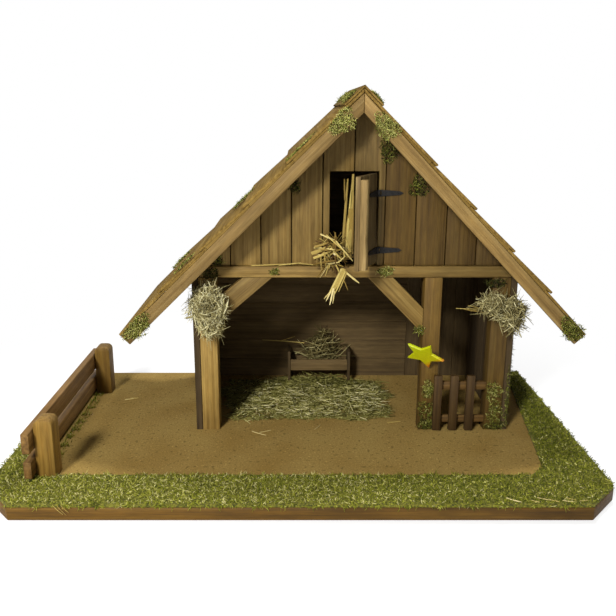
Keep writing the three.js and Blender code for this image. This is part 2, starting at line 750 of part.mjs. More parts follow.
// A manger end, seen from the right: a board with two legs and an arch between them.
function mangerEndShape(frontY) {
  const rearY = frontY + MANGER_DEPTH;
  const footZ = floorZ + SAND_THICKNESS + GLUE_LINE;
  const archZ = floorZ + MANGER_LEG_ARCH;
  const topZ = floorZ + MANGER_END_HEIGHT;
  return outline([
    [frontY, footZ],
    [frontY + MANGER_LEG_WIDTH, footZ],
    [frontY + 2 * MANGER_LEG_WIDTH, archZ],
    [rearY - 2 * MANGER_LEG_WIDTH, archZ],
    [rearY - MANGER_LEG_WIDTH, footZ],
    [rearY, footZ],
    [rearY, topZ],
    [frontY, topZ],
  ]);
}

// The manger's trough, seen from the right: a floor board between two side boards.
function mangerTroughShape(frontY) {
  const rearY = frontY + MANGER_DEPTH;
  const board = MANGER_BOARD_THICKNESS;
  const bottomZ = floorZ + MANGER_TROUGH_BOTTOM;
  const topZ = bottomZ + MANGER_TROUGH_DEPTH;
  return outline([
    [frontY, bottomZ],
    [rearY, bottomZ],
    [rearY, topZ],
    [rearY - board, topZ],
    [rearY - board, bottomZ + board],
    [frontY + board, bottomZ + board],
    [frontY + board, topZ],
    [frontY, topZ],
  ]);
}

function addManger() {
  const leftX = stableCentreX + MANGER_OFFSET_X - MANGER_LENGTH / 2;
  const rightX = leftX + MANGER_LENGTH;
  const frontY = backWallFrontY - MANGER_REAR_CLEARANCE - MANGER_DEPTH;
  const innerLeftX = leftX + MANGER_END_THICKNESS;
  const innerRightX = rightX - MANGER_END_THICKNESS;
  const leftEnd = extrudeRight(mangerEndShape(frontY), leftX, innerLeftX);
  const rightEnd = extrudeRight(mangerEndShape(frontY), innerRightX, rightX);
  const troughLeftX = innerLeftX + GLUE_LINE;
  const troughRightX = innerRightX - GLUE_LINE;
  const trough = extrudeRight(mangerTroughShape(frontY), troughLeftX, troughRightX);
  addMesh(stable, 'manger_end_left', leftEnd, FINISHES.timber);
  addMesh(stable, 'manger_end_right', rightEnd, FINISHES.timber);
  addMesh(stable, 'manger_trough', trough, FINISHES.timber);
  addMangerHay(troughLeftX, troughRightX, frontY);
}

// Hay heaped in the trough, seen from the front as a peaked mound.
function addMangerHay(leftX, rightX, frontY) {
  const inset = MANGER_BOARD_THICKNESS + SOFT_CLEARANCE;
  const bottomZ = floorZ + MANGER_TROUGH_BOTTOM + inset;
  const height = floorZ + MANGER_HAY_HEIGHT - bottomZ;
  const left = leftX + SOFT_CLEARANCE;
  const width = rightX - SOFT_CLEARANCE - left;
  const points = mangerHayShares.map(([across, up]) => [left + across * width, bottomZ + up * height]);
  const shape = outline(points);
  const geometry = extrudeBack(shape, frontY + inset, frontY + MANGER_DEPTH - inset);
  addMesh(stable, 'manger_hay', geometry, FINISHES.hay);
}

function starShape() {
  const points = [];
  for (let index = 0; index < 2 * STAR_POINTS; index += 1) {
    const radius = index % 2 === 0 ? STAR_RADIUS : STAR_NOTCH_RADIUS;
    const angle = STAR_TURN + (index * Math.PI) / STAR_POINTS;
    points.push([radius * Math.cos(angle), radius * Math.sin(angle)]);
  }
  return outline(points);
}

// A bevelled star, leaning forward and turned askew, with the peg that holds it off the post.
function addStar() {
  const centre = new THREE.Vector3(
    innerPostX,
    stableFrontY - STAR_STANDOFF,
    floorZ + STAR_CENTRE_HEIGHT,
  );
  const body = new THREE.ExtrudeGeometry(starShape(), {
    depth: STAR_THICKNESS - 2 * STAR_BEVEL,
    bevelEnabled: true,
    bevelThickness: STAR_BEVEL,
    bevelSize: STAR_BEVEL,
    bevelOffset: -STAR_BEVEL,
    bevelSegments: 1,
  });
  body.translate(0, 0, STAR_BEVEL - STAR_THICKNESS / 2);
  const turn = new THREE.Euler(Math.PI / 2 - STAR_LEAN, 0, STAR_YAW, 'ZYX');
  const rotation = new THREE.Matrix4().makeRotationFromEuler(turn);
  const normal = new THREE.Vector3(0, 0, 1).applyMatrix4(rotation);
  body.applyMatrix4(rotation);
  body.translate(centre.x, centre.y, centre.z);
  const pegX = innerPostX + STAR_PEG_FROM_POST_EDGE;
  const pegFrontY = centre.y - ((pegX - centre.x) * normal.x) / normal.y;
  const pegRearY = stableFrontY - GLUE_LINE;
  const pegLength = pegRearY - pegFrontY;
  const peg = new THREE.CylinderGeometry(STAR_PEG_RADIUS, STAR_PEG_RADIUS, pegLength, PEG_SEGMENTS);
  peg.translate(pegX, (pegRearY + pegFrontY) / 2, centre.z);
  addMesh(stable, 'star', joined([body, peg]), FINISHES.star);
}

// Straw strewn on the floor: a squarish patch with a ragged edge.
function addStrawBed() {
  const frontY = stableFrontY + STRAW_BED_SETBACK;
  const rearY = backWallFrontY - MANGER_REAR_CLEARANCE - MANGER_DEPTH - SOFT_CLEARANCE;
  const centreX = stableCentreX + STRAW_BED_OFFSET_X;
  const centreY = (frontY + rearY) / 2;
  const wobble = STRAW_BED_WAVES.reduce((sum, wave) => sum + wave.depth, 0);
  const points = [];
  for (let index = 0; index < STRAW_BED_POINTS; index += 1) {
    const angle = (index / STRAW_BED_POINTS) * 2 * Math.PI;
    const waves = STRAW_BED_WAVES.map((wave) => wave.depth * Math.sin(wave.count * angle));
    const scale = (1 + waves.reduce((sum, wave) => sum + wave, 0)) / (1 + wobble);
    const across = Math.sign(Math.cos(angle)) * Math.abs(Math.cos(angle)) ** STRAW_BED_SQUARENESS;
    const along = Math.sign(Math.sin(angle)) * Math.abs(Math.sin(angle)) ** STRAW_BED_SQUARENESS;
    points.push([
      centreX + (across * scale * STRAW_BED_WIDTH) / 2,
      centreY + (along * scale * (rearY - frontY)) / 2,
    ]);
  }
  const bottomZ = floorZ + SAND_THICKNESS + GLUE_LINE;
  const geometry = extrudeUp(outline(points), bottomZ, bottomZ + STRAW_BED_THICKNESS);
  addMesh(stable, 'straw_bed', geometry, FINISHES.straw);
}

// A tuft of hay tucked under the eave against the front of a post, fullest at mid-height.
function addHayTuft(name, postX, tuft) {
  const half = tuft.width / 2;
  const points = tuftShares.map(([out, up]) => new THREE.Vector2(out * half, up * tuft.height));
  const geometry = new THREE.LatheGeometry(points, TUFT_SEGMENTS);
  geometry.rotateX(Math.PI / 2);
  geometry.scale(1, tuft.bulge / half, 1);
  const centreX = postX + POST_SECTION / 2 + tuft.offsetX;
  geometry.translate(centreX, stableFrontY - SOFT_CLEARANCE, beamBottomZ - tuft.drop);
  const behind = boxBetween(
    [centreX - tuft.width, stableFrontY - SOFT_CLEARANCE, floorZ],
    [centreX + tuft.width, stableFrontY + tuft.width, ridgeZ],
  );
  addMesh(stable, name, cut(geometry, [behind]), FINISHES.hay);
}

// A long blade of straw standing in the hatch, leaning a little.
function strawBlade(blade, footZ) {
  const topZ = hatchTopZ - BLADE_TOP_CLEARANCE;
  const shape = outline([
    [hatchLeftX + blade.foot - blade.width / 2, footZ],
    [hatchLeftX + blade.foot + blade.width / 2, footZ],
    [hatchLeftX + blade.head + blade.width / 4, topZ],
    [hatchLeftX + blade.head - blade.width / 4, topZ],
  ]);
  return extrudeBack(shape, gableFrontY, gableFrontY + BLADE_THICKNESS);
}

// Straw pushed through the hatch: a bundle on the beam, blades behind it and a hanging wisp.
function addHatchStraw() {
  const leftX = hatchLeftX + SOFT_CLEARANCE;
  const rightX = leftX + HATCH_STRAW_WIDTH;
  const frontY = stableFrontY - HATCH_STRAW_DEPTH_OUT;
  const footZ = beamTopZ + SOFT_CLEARANCE;
  const topZ = beamTopZ + HATCH_STRAW_TOP;
  const outerLeftX = leftX - HATCH_STRAW_SIDE_REACH;
  const bundle = outline([
    [outerLeftX + HATCH_STRAW_SIDE_REACH / 2, footZ - HATCH_STRAW_DROP],
    [rightX - HATCH_STRAW_SIDE_REACH / 2, footZ - HATCH_STRAW_DROP],
    [rightX, footZ + HATCH_STRAW_DROP],
    [rightX - HATCH_STRAW_SIDE_REACH / 2, topZ],
    [outerLeftX + HATCH_STRAW_SIDE_REACH / 2, topZ],
    [outerLeftX, footZ + HATCH_STRAW_DROP],
  ]);
  const wisp = new THREE.BoxGeometry(HATCH_WISP.width, HATCH_WISP.thickness, HATCH_WISP.length);
  wisp.rotateY(HATCH_WISP_TILT);
  wisp.translate(
    hatchLeftX + HATCH_WISP.offsetX,
    frontY + HATCH_WISP.thickness,
    beamTopZ - HATCH_WISP.drop,
  );
  const pushedIn = boxBetween(
    [leftX, frontY + CUT_OVERRUN, footZ],
    [rightX - CUT_OVERRUN, gableBackY + HATCH_STRAW_DEPTH_IN, topZ - CUT_OVERRUN],
  );
  const pieces = [
    extrudeBack(bundle, frontY, stableFrontY - SOFT_CLEARANCE),
    pushedIn,
    wisp,
    strawBlade(NARROW_BLADE, footZ),
    strawBlade(WIDE_BLADE, footZ),
  ];
  addMesh(stable, 'hatch_straw', joined(pieces), FINISHES.straw);
}

addBaseBoard();
addGround();
addPosts();
addBeamAndLoft();
addBrace('left_brace', leftPostX + POST_SECTION, 1, LEFT_BRACE);
addBrace('right_brace', innerPostX, -1, RIGHT_BRACE);
addWalls();
addGableBoards();
for (const [label, side] of Object.entries(roofSides)) {
  addBargeBoard(label, side);
  addRoofCourses(label, side);
  addRidgeCap(label, side);
}
addHatchDoor();
addLeftFence();
addPicketFence();
addManger();
addStar();
addStrawBed();
addHayTuft('hay_tuft_left', leftPostX, LEFT_TUFT);
addHayTuft('hay_tuft_right', rightPostX, RIGHT_TUFT);
addHatchStraw();

export default stable;
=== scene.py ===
import math

import bpy
import numpy as np
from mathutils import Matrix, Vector


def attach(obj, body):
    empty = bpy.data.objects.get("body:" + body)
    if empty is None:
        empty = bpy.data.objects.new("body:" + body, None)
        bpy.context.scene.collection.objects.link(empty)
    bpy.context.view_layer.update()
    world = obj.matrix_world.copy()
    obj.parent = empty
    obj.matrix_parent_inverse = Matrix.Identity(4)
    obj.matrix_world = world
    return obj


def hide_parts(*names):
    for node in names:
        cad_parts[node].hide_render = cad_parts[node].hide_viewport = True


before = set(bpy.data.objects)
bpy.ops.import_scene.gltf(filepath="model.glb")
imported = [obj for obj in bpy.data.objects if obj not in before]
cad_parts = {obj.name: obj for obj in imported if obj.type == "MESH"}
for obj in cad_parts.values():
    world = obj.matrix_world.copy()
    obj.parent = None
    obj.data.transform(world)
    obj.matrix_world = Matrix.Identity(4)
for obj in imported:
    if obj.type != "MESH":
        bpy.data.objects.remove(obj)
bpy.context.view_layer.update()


# Camera.
# It stands in front of the stable, a little left of its middle, and looks down by 15 degrees.
camera_lens = bpy.data.cameras.new("camera")
camera_lens.sensor_width = 36
camera_lens.lens = 42.66
camera_lens.shift_x = 0.0195
camera = bpy.data.objects.new("camera", camera_lens)
camera.location = (-0.00465, -0.896, 0.422)
camera.rotation_euler = (math.radians(90 - 15.17), 0, 0)
bpy.context.scene.collection.objects.link(camera)
bpy.context.scene.camera = camera
bpy.context.scene.view_settings.view_transform = "Standard"


# Studio light, floor and backdrop.
# A round lamp stands at the left front, a small one hangs overhead, a little to the right and behind,
# and a wide weak one fills in from the front.
# The floor is white paper that shows the stable's soft shadow and fades into a white backdrop.
def shader_node(tree, kind, inputs=None, **settings):
    made = tree.nodes.new(kind)
    for name, value in settings.items():
        setattr(made, name, value)
    for name, value in (inputs or {}).items():
        made.inputs[name].default_value = value
    return made


def new_material(name):
    material = bpy.data.materials.new(name)
    material.use_nodes = True
    return material, material.node_tree


def seen_directly(tree):
    """1 where the camera sees the surface itself, in a gloss or through glass."""
    path = shader_node(tree, "ShaderNodeLightPath")
    total = path.outputs["Is Camera Ray"]
    for ray in ("Is Glossy Ray", "Is Transmission Ray"):
        both = shader_node(tree, "ShaderNodeMath", operation="MAXIMUM")
        tree.links.new(total, both.inputs[0])
        tree.links.new(path.outputs[ray], both.inputs[1])
        total = both.outputs[0]
    return total


def add_lamp(name, place, aim_at, size, power):
    lamp = bpy.data.lights.new(name, "AREA")
    lamp.shape = "DISK"
    lamp.size = size
    lamp.energy = power
    holder = bpy.data.objects.new(name, lamp)
    holder.location = place
    holder.rotation_euler = (Vector(aim_at) - Vector(place)).to_track_quat("-Z", "Y").to_euler()
    holder.visible_camera = False
    bpy.context.scene.collection.objects.link(holder)


add_lamp("key_lamp", (-0.71, -1.65, 1.17), (0.03, 0, 0.15), 0.36, 48)
add_lamp("overhead_lamp", (0.4, 0.45, 1.75), (0.03, 0, 0.15), 0.2, 20)
add_lamp("front_lamp", (-0.1, -1.7, 0.5), (0.03, 0, 0.12), 0.9, 0.6)

room = bpy.data.worlds.new("room")
room.use_nodes = True
bpy.context.scene.world = room
room_tree = room.node_tree
daylight = room_tree.nodes["Background"]
daylight.inputs["Color"].default_value = (1, 0.98, 0.95, 1)
daylight.inputs["Strength"].default_value = 0.14
paper_white = shader_node(room_tree, "ShaderNodeBackground", {"Color": (1, 1, 1, 1), "Strength": 1})
room_mix = shader_node(room_tree, "ShaderNodeMixShader")
room_tree.links.new(seen_directly(room_tree), room_mix.inputs["Fac"])
room_tree.links.new(daylight.outputs[0], room_mix.inputs[1])
room_tree.links.new(paper_white.outputs[0], room_mix.inputs[2])
room_tree.links.new(room_mix.outputs[0], room_tree.nodes["World Output"].inputs["Surface"])

bpy.ops.object.select_all(action="DESELECT")
bpy.ops.mesh.primitive_circle_add(vertices=64, radius=9, fill_type="NGON", location=(0, 0, -0.0004))
floor = bpy.context.object
floor.name = "floor"
floor_material, floor_tree = new_material("floor_paper")
floor_shader = floor_tree.nodes["Principled BSDF"]
floor_shader.inputs["Base Color"].default_value = (0.5, 0.5, 0.5, 1)
floor_shader.inputs["Roughness"].default_value = 0.9
floor_shader.inputs["Specular IOR Level"].default_value = 0.1
floor_glow = shader_node(floor_tree, "ShaderNodeEmission", {"Color": (1, 1, 1, 1), "Strength": 0.56})
floor_lit = shader_node(floor_tree, "ShaderNodeAddShader")
floor_tree.links.new(floor_shader.outputs[0], floor_lit.inputs[0])
floor_tree.links.new(floor_glow.outputs[0], floor_lit.inputs[1])
floor_far = shader_node(floor_tree, "ShaderNodeEmission", {"Color": (1, 1, 1, 1), "Strength": 1})
floor_place = shader_node(floor_tree, "ShaderNodeTexCoord")
floor_reach = shader_node(floor_tree, "ShaderNodeVectorMath", operation="LENGTH")
floor_tree.links.new(floor_place.outputs["Object"], floor_reach.inputs[0])
floor_fade = shader_node(
    floor_tree, "ShaderNodeMapRange", {"From Min": 0.38, "From Max": 0.68}, interpolation_type="SMOOTHSTEP")
floor_tree.links.new(floor_reach.outputs["Value"], floor_fade.inputs["Value"])
floor_near = shader_node(floor_tree, "ShaderNodeMixShader")
floor_tree.links.new(floor_fade.outputs[0], floor_near.inputs["Fac"])
floor_tree.links.new(floor_lit.outputs[0], floor_near.inputs[1])
floor_tree.links.new(floor_far.outputs[0], floor_near.inputs[2])
floor_plain = shader_node(floor_tree, "ShaderNodeBsdfDiffuse", {"Color": (0.8, 0.8, 0.8, 1)})
floor_mix = shader_node(floor_tree, "ShaderNodeMixShader")
floor_tree.links.new(seen_directly(floor_tree), floor_mix.inputs["Fac"])
floor_tree.links.new(floor_plain.outputs[0], floor_mix.inputs[1])
floor_tree.links.new(floor_near.outputs[0], floor_mix.inputs[2])
floor_tree.links.new(floor_mix.outputs[0], floor_tree.nodes["Material Output"].inputs["Surface"])
floor.data.materials.append(floor_material)


# Base board.
# One thick board with its front corners sawn off, stained a dark reddish brown.
# Its grain runs along its length.
def tint(red, green, blue):
    """A colour as a paint chart gives it, 0 to 255, as the shader wants it."""
    chart = [value / 255 for value in (red, green, blue)]
    return [value / 12.92 if value <= 0.04045 else ((value + 0.055) / 1.055) ** 2.4 for value in chart] + [1]


def pick_only(piece):
    bpy.ops.object.select_all(action="DESELECT")
    piece.hide_set(False)
    piece.select_set(True)
    bpy.context.view_layer.objects.active = piece


def copy_of(node, name):
    """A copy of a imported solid, with its loose triangles merged into whole faces."""
    piece = bpy.data.objects.new(name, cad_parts[node].data.copy())
    piece.data.name = name
    piece.data.materials.clear()
    bpy.context.scene.collection.objects.link(piece)
    pick_only(piece)
    bpy.ops.mesh.customdata_custom_splitnormals_clear()
    bpy.ops.object.mode_set(mode="EDIT")
    bpy.ops.mesh.select_all(action="SELECT")
    bpy.ops.mesh.remove_doubles(threshold=1e-5)
    bpy.ops.mesh.dissolve_limited(angle_limit=math.radians(0.5))
    bpy.ops.object.mode_set(mode="OBJECT")
    return piece


def ease_edges(piece, width, steps=2):
    """Sands the sharp edges round."""
    pick_only(piece)
    sanded = piece.modifiers.new("sanded_edges", "BEVEL")
    sanded.width = width
    sanded.segments = steps
    sanded.limit_method = "ANGLE"
    sanded.angle_limit = math.radians(25)
    bpy.ops.object.modifier_apply(modifier=sanded.name)
    bpy.ops.object.shade_smooth_by_angle(angle=math.radians(40))


def lay_grain(piece, along, board, shade):
    """Gives a board the direction of its grain, its own part of the log and how light it is: its stain, with
    painted light and shade on some boards.

    Two numbers for the stain are for the board's start and end."""
    lengthwise = Vector(along).normalized()
    aside = (0, 0, 1) if abs(lengthwise.z) < 0.9 else (0, 1, 0)
    across = lengthwise.cross(Vector(aside)).normalized()
    through = lengthwise.cross(across)
    turn = np.array([lengthwise, across, through])
    corners = np.empty(3 * len(piece.data.vertices))
    piece.data.vertices.foreach_get("co", corners)
    log_place = np.array([0.37 * board, 0.113 * board, 0.071 * board])
    grain = corners.reshape(-1, 3) @ turn.T + log_place
    layer = piece.data.attributes.new("grain", "FLOAT_VECTOR", "POINT")
    layer.data.foreach_set("vector", grain.ravel())
    first, last = shade if isinstance(shade, tuple) else (shade, shade)
    share = (grain[:, 0] - grain[:, 0].min()) / np.ptp(grain[:, 0])
    layer = piece.data.attributes.new("shade", "FLOAT", "POINT")
    layer.data.foreach_set("value", first + (last - first) * share)


def spread(tree, value, low, high, start=0.3, end=0.7):
    """A noise from start to end becomes a number from low to high."""
    reach = shader_node(
        tree, "ShaderNodeMapRange", {"From Min": start, "From Max": end, "To Min": low, "To Max": high})
    tree.links.new(value, reach.inputs["Value"])
    return reach.outputs[0]


def times(tree, first, second):
    product = shader_node(tree, "ShaderNodeMath", operation="MULTIPLY")
    for value, socket in zip((first, second), product.inputs):
        if isinstance(value, (int, float)):
            socket.default_value = value
        else:
            tree.links.new(value, socket)
    return product.outputs[0]


def noise_on(tree, place, scale, detail=3, distortion=0):
    """Noise on a place, with its scale along, across and through a board, in 1 per metre."""
    mapping = shader_node(tree, "ShaderNodeMapping", {"Scale": scale})
    noise = shader_node(
        tree, "ShaderNodeTexNoise", {"Scale": 1, "Detail": detail, "Distortion": distortion})
    tree.links.new(place, mapping.inputs["Vector"])
    tree.links.new(mapping.outputs[0], noise.inputs["Vector"])
    return noise.outputs["Fac"]


def ramp_on(tree, value, stops):
    ramp = shader_node(tree, "ShaderNodeValToRGB")
    while len(ramp.color_ramp.elements) < len(stops):
        ramp.color_ramp.elements.new(0.5)
    for element, (place, colour) in zip(ramp.color_ramp.elements, stops):
        element.position = place
        element.color = colour
    tree.links.new(value, ramp.inputs["Fac"])
    return ramp.outputs["Color"]


def dim(tree, colour, value):
    """A colour made darker or lighter by a number."""
    scaled = shader_node(tree, "ShaderNodeVectorMath", operation="SCALE")
    tree.links.new(colour, scaled.inputs[0])
    tree.links.new(value, scaled.inputs["Scale"])
    return scaled.outputs["Vector"]


def relief(tree, height, depth):
    bump = shader_node(tree, "ShaderNodeBump", {"Strength": 1, "Distance": depth})
    tree.links.new(height, bump.inputs["Height"])
    tree.links.new(bump.outputs[0], tree.nodes["Principled BSDF"].inputs["Normal"])


def stained_wood(name, dark, middle, pale, rough=(0.5, 0.72), depth=0.0005, gloss=0.22):
    """Stain over open grain: long streaks, fine pores, blotches where the stain took unevenly, and scuffs."""
    material, tree = new_material(name)
    place = shader_node(tree, "ShaderNodeAttribute", attribute_name="grain").outputs["Vector"]
    shade = shader_node(tree, "ShaderNodeAttribute", attribute_name="shade").outputs["Fac"]
    streaks = noise_on(tree, place, (6, 260, 260), 4, 0.4)
    pores = noise_on(tree, place, (45, 1300, 1300), 2)
    blotches = noise_on(tree, place, (12, 34, 34), 3)
    scuffs = noise_on(tree, place, (60, 220, 220), 5)
    colour = ramp_on(tree, streaks, [(0.2, dark), (0.5, middle), (0.86, pale)])
    depth_of_stain = times(tree, spread(tree, blotches, 0.8, 1.2), spread(tree, pores, 0.86, 1.12))
    depth_of_stain = times(tree, depth_of_stain, spread(tree, scuffs, 0.9, 1.12))
    colour = dim(tree, colour, times(tree, depth_of_stain, shade))
    shader = tree.nodes["Principled BSDF"]
    tree.links.new(colour, shader.inputs["Base Color"])
    tree.links.new(spread(tree, blotches, rough[1], rough[0]), shader.inputs["Roughness"])
    shader.inputs["Specular IOR Level"].default_value = gloss
    height = shader_node(tree, "ShaderNodeMath", operation="ADD")
    tree.links.new(streaks, height.inputs[0])
    tree.links.new(times(tree, pores, 0.7), height.inputs[1])
    relief(tree, height.outputs[0], depth)
    return material


def finish_piece(piece, material, body, slot, *nodes):
    piece.data.materials.append(material)
    if nodes:
        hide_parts(*nodes)
    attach(piece, body)


BASE_EDGE = 0.0012
base_stain = stained_wood("base_stain", tint(62, 42, 8), tint(98, 68, 14), tint(124, 92, 30))
base = copy_of("base_board", "base_board_stained")
ease_edges(base, BASE_EDGE)
lay_grain(base, (1, 0, 0), 1, (0.95, 0.6))
finish_piece(base, base_stain, "stable", "painted_base", "base_board")


# Sand.
# Brown sand strewn in glue on the base board, with pale and dark grains.
# It is thicker in some places, so its colour is patchy.
sand_material, sand_tree = new_material("glued_sand")
sand_place = shader_node(sand_tree, "ShaderNodeTexCoord").outputs["Object"]
sand_patches = noise_on(sand_tree, sand_place, (16, 16, 16), 4)
sand_grains = noise_on(sand_tree, sand_place, (900, 900, 900), 2)
sand_specks = noise_on(sand_tree, sand_place, (420, 420, 420), 1)
sand_pale_dots = noise_on(sand_tree, sand_place, (300, 300, 300), 0)
sand_dark_dots = noise_on(sand_tree, sand_place, (230, 230, 230), 0)
sand_colour = ramp_on(sand_tree, sand_patches, [
    (0.3, tint(142, 114, 57)), (0.5, tint(151, 124, 66)), (0.72, tint(158, 132, 72))])
sand_shade = times(
    sand_tree, spread(sand_tree, sand_grains, 0.8, 1.2), spread(sand_tree, sand_specks, 0.88, 1.1))
sand_dots = times(
    sand_tree, spread(sand_tree, sand_pale_dots, 1.0, 1.4, 0.72, 0.78),
    spread(sand_tree, sand_dark_dots, 0.62, 1.0, 0.24, 0.3))
sand_colour = dim(sand_tree, sand_colour, times(sand_tree, sand_shade, sand_dots))
sand_shader = sand_tree.nodes["Principled BSDF"]
sand_shader.inputs["Roughness"].default_value = 0.95
sand_shader.inputs["Specular IOR Level"].default_value = 0.15
sand_tree.links.new(sand_colour, sand_shader.inputs["Base Color"])
relief(sand_tree, sand_grains, 0.0009)


def paint_node(node, material):
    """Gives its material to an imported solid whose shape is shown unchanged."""
    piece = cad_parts[node]
    piece.data.materials.clear()
    piece.data.materials.append(material)


paint_node("sand_ground", sand_material)


# Turf.
# Flock of short dried moss blades, glued on thickly round the sand and over the board's edge.
# Three blades and flakes are modelled once and strewn as thousands of copies.
dice = np.random.default_rng(8905)


def take_shape(piece):
    """The corners and triangles of a small modelled shape, which is then put away."""
    pick_only(piece)
    bpy.ops.object.mode_set(mode="EDIT")
    bpy.ops.mesh.select_all(action="SELECT")
    bpy.ops.mesh.quads_convert_to_tris()
    bpy.ops.mesh.normals_make_consistent(inside=False)
    bpy.ops.object.mode_set(mode="OBJECT")
    corners = np.array([vertex.co for vertex in piece.data.vertices])
    triangles = np.array([list(face.vertices) for face in piece.data.polygons])
    bpy.data.objects.remove(piece)
    return corners, triangles


def pull_ring(piece, height, move, squeeze=(1, 1, 1)):
    """Moves and squeezes what lies at one height of an upright shape."""
    for vertex in piece.data.vertices:
        vertex.select = abs(vertex.co.z - height) < 1e-5
    bpy.ops.object.mode_set(mode="EDIT")
    bpy.ops.mesh.select_mode(type="VERT")
    bpy.ops.transform.resize(value=squeeze)
    bpy.ops.transform.translate(value=(*move, 0))
    bpy.ops.object.mode_set(mode="OBJECT")


def clear_picks(piece):
    for layer in (piece.data.vertices, piece.data.edges, piece.data.polygons):
        for element in layer:
            element.select = False


def bar_shape(length, width, thickness, bends, tip=0.6, sides=4):
    """A stalk or blade, up from its foot at the origin: a flattened bar bent ring by ring."""
    bpy.ops.object.select_all(action="DESELECT")
    bpy.ops.mesh.primitive_cylinder_add(
        vertices=sides, radius=0.5, depth=length, location=(0, 0, length / 2),
        scale=(width, thickness, 1))
    piece = bpy.context.object
    bpy.ops.object.transform_apply()
    steps = len(bends)
    bpy.ops.object.mode_set(mode="EDIT")
    for step in range(1, steps):
        bpy.ops.mesh.select_all(action="SELECT")
        bpy.ops.mesh.bisect(plane_co=(0, 0, length * step / steps), plane_no=(0, 0, 1))
    bpy.ops.mesh.select_all(action="DESELECT")
    bpy.ops.object.mode_set(mode="OBJECT")
    for step, bend in enumerate(bends, 1):
        clear_picks(piece)
        squeeze = (tip, tip, 1) if step == steps else (1, 1, 1)
        pull_ring(piece, length * step / steps, bend, squeeze)
    return take_shape(piece)


def aim(directions, rolls):
    """Turns that point an upright shape along each direction, rolled about its own length."""
    up = directions / np.linalg.norm(directions, axis=1, keepdims=True)
    side = np.where(np.abs(up[:, 2:]) < 0.9, [[0, 0, 1]], [[1, 0, 0]])
    first = np.cross(side, up)
    first /= np.linalg.norm(first, axis=1, keepdims=True)
    second = np.cross(up, first)
    cos, sin = np.cos(rolls)[:, None], np.sin(rolls)[:, None]
    return np.stack([first * cos + second * sin, second * cos - first * sin, up], axis=2)


def strew(name, shapes, picks, places, directions, sizes, tones, rolls=None):
    """One mesh of many copies of small shapes, each with its own place, direction, size, tone and roll."""
    turns = aim(directions, dice.uniform(0, 2 * math.pi, len(places)) if rolls is None else rolls)
    corners, triangles, shades, count = [], [], [], 0
    for index, (shape, faces) in enumerate(shapes):
        chosen = np.flatnonzero(picks == index)
        laid = shape[None] * sizes[chosen][:, None, None]
        laid = np.einsum("nij,nvj->nvi", turns[chosen], laid) + places[chosen][:, None, :]
        starts = count + np.arange(len(chosen)) * len(shape)
        corners.append(laid.reshape(-1, 3))
        triangles.append((faces[None] + starts[:, None, None]).reshape(-1, 3))
        shades.append(np.repeat(tones[chosen], len(shape)))
        count += len(chosen) * len(shape)
    corners, triangles = np.concatenate(corners), np.concatenate(triangles)
    mesh = bpy.data.meshes.new(name)
    mesh.vertices.add(len(corners))
    mesh.vertices.foreach_set("co", corners.ravel())
    mesh.loops.add(triangles.size)
    mesh.loops.foreach_set("vertex_index", triangles.ravel())
    mesh.polygons.add(len(triangles))
    mesh.polygons.foreach_set("loop_start", np.arange(0, triangles.size, 3))
    mesh.update(calc_edges=True)
    mesh.attributes.new("tone", "FLOAT", "POINT").data.foreach_set("value", np.concatenate(shades))
    piece = bpy.data.objects.new(name, mesh)
    bpy.context.scene.collection.objects.link(piece)
    return piece


def tones_about(middle, width, count):
    """Tones from 0 to 1 that vary round a middle one."""
    return np.clip(dice.normal(middle, width, count), 0, 1)


def dried_plant(name, stops, rough=0.9, patch=(0.8, 1.15)):
    """Dried stalks or moss: each copy has its own tone, and whole patches are darker or paler."""
    material, tree = new_material(name)
    tone = shader_node(tree, "ShaderNodeAttribute", attribute_name="tone").outputs["Fac"]
    place = shader_node(tree, "ShaderNodeTexCoord").outputs["Object"]
    patches = noise_on(tree, place, (28, 28, 28), 3)
    flecks = noise_on(tree, place, (1100, 1100, 1100), 2)
    shade = times(tree, spread(tree, patches, *patch), spread(tree, flecks, 0.85, 1.12))
    shader = tree.nodes["Principled BSDF"]
    tree.links.new(dim(tree, ramp_on(tree, tone, stops), shade), shader.inputs["Base Color"])
    shader.inputs["Roughness"].default_value = rough
    shader.inputs["Specular IOR Level"].default_value = 0.2
    relief(tree, flecks, 0.0003)
    return material


def inside(outline, points):
    """Which points lie inside an outline, by counting its edges to their right."""
    x, y = points[:, 0], points[:, 1]
    result = np.zeros(len(points), bool)
    for (ax, ay), (bx, by) in zip(outline, outline[1:] + outline[:1]):
        if ay == by:
            continue
        crosses = ((ay > y) != (by > y)) & (x < (bx - ax) * (y - ay) / (by - ay) + ax)
        result ^= crosses
    return result


def swell(points, wave, seed):
    """Smooth ups and downs from -1 to 1 over the ground, about one wave apart."""
    total = np.zeros(len(points))
    for turn in (0.3, 1.25, 2.1, 2.9):
        along = points[:, 0] * math.cos(turn + seed) + points[:, 1] * math.sin(turn + seed)
        total += np.sin(2 * math.pi * along / wave / (0.8 + 0.17 * turn) + 9 * turn + seed)
    return total / 4


def scattered(outline, spacing, wobble):
    """Points about one spacing apart inside an outline whose edge wanders by the wobble."""
    low, high = np.min(outline, axis=0) - wobble, np.max(outline, axis=0) + wobble
    rows = [np.arange(start, end, spacing) for start, end in zip(low, high)]
    points = np.stack(np.meshgrid(*rows), axis=2).reshape(-1, 2)
    points = points + dice.uniform(-0.5, 0.5, points.shape) * spacing
    moved = points + wobble * np.stack([swell(points, 0.021, 1.0), swell(points, 0.017, 4.0)], axis=1)
    return points[inside(outline, moved)]


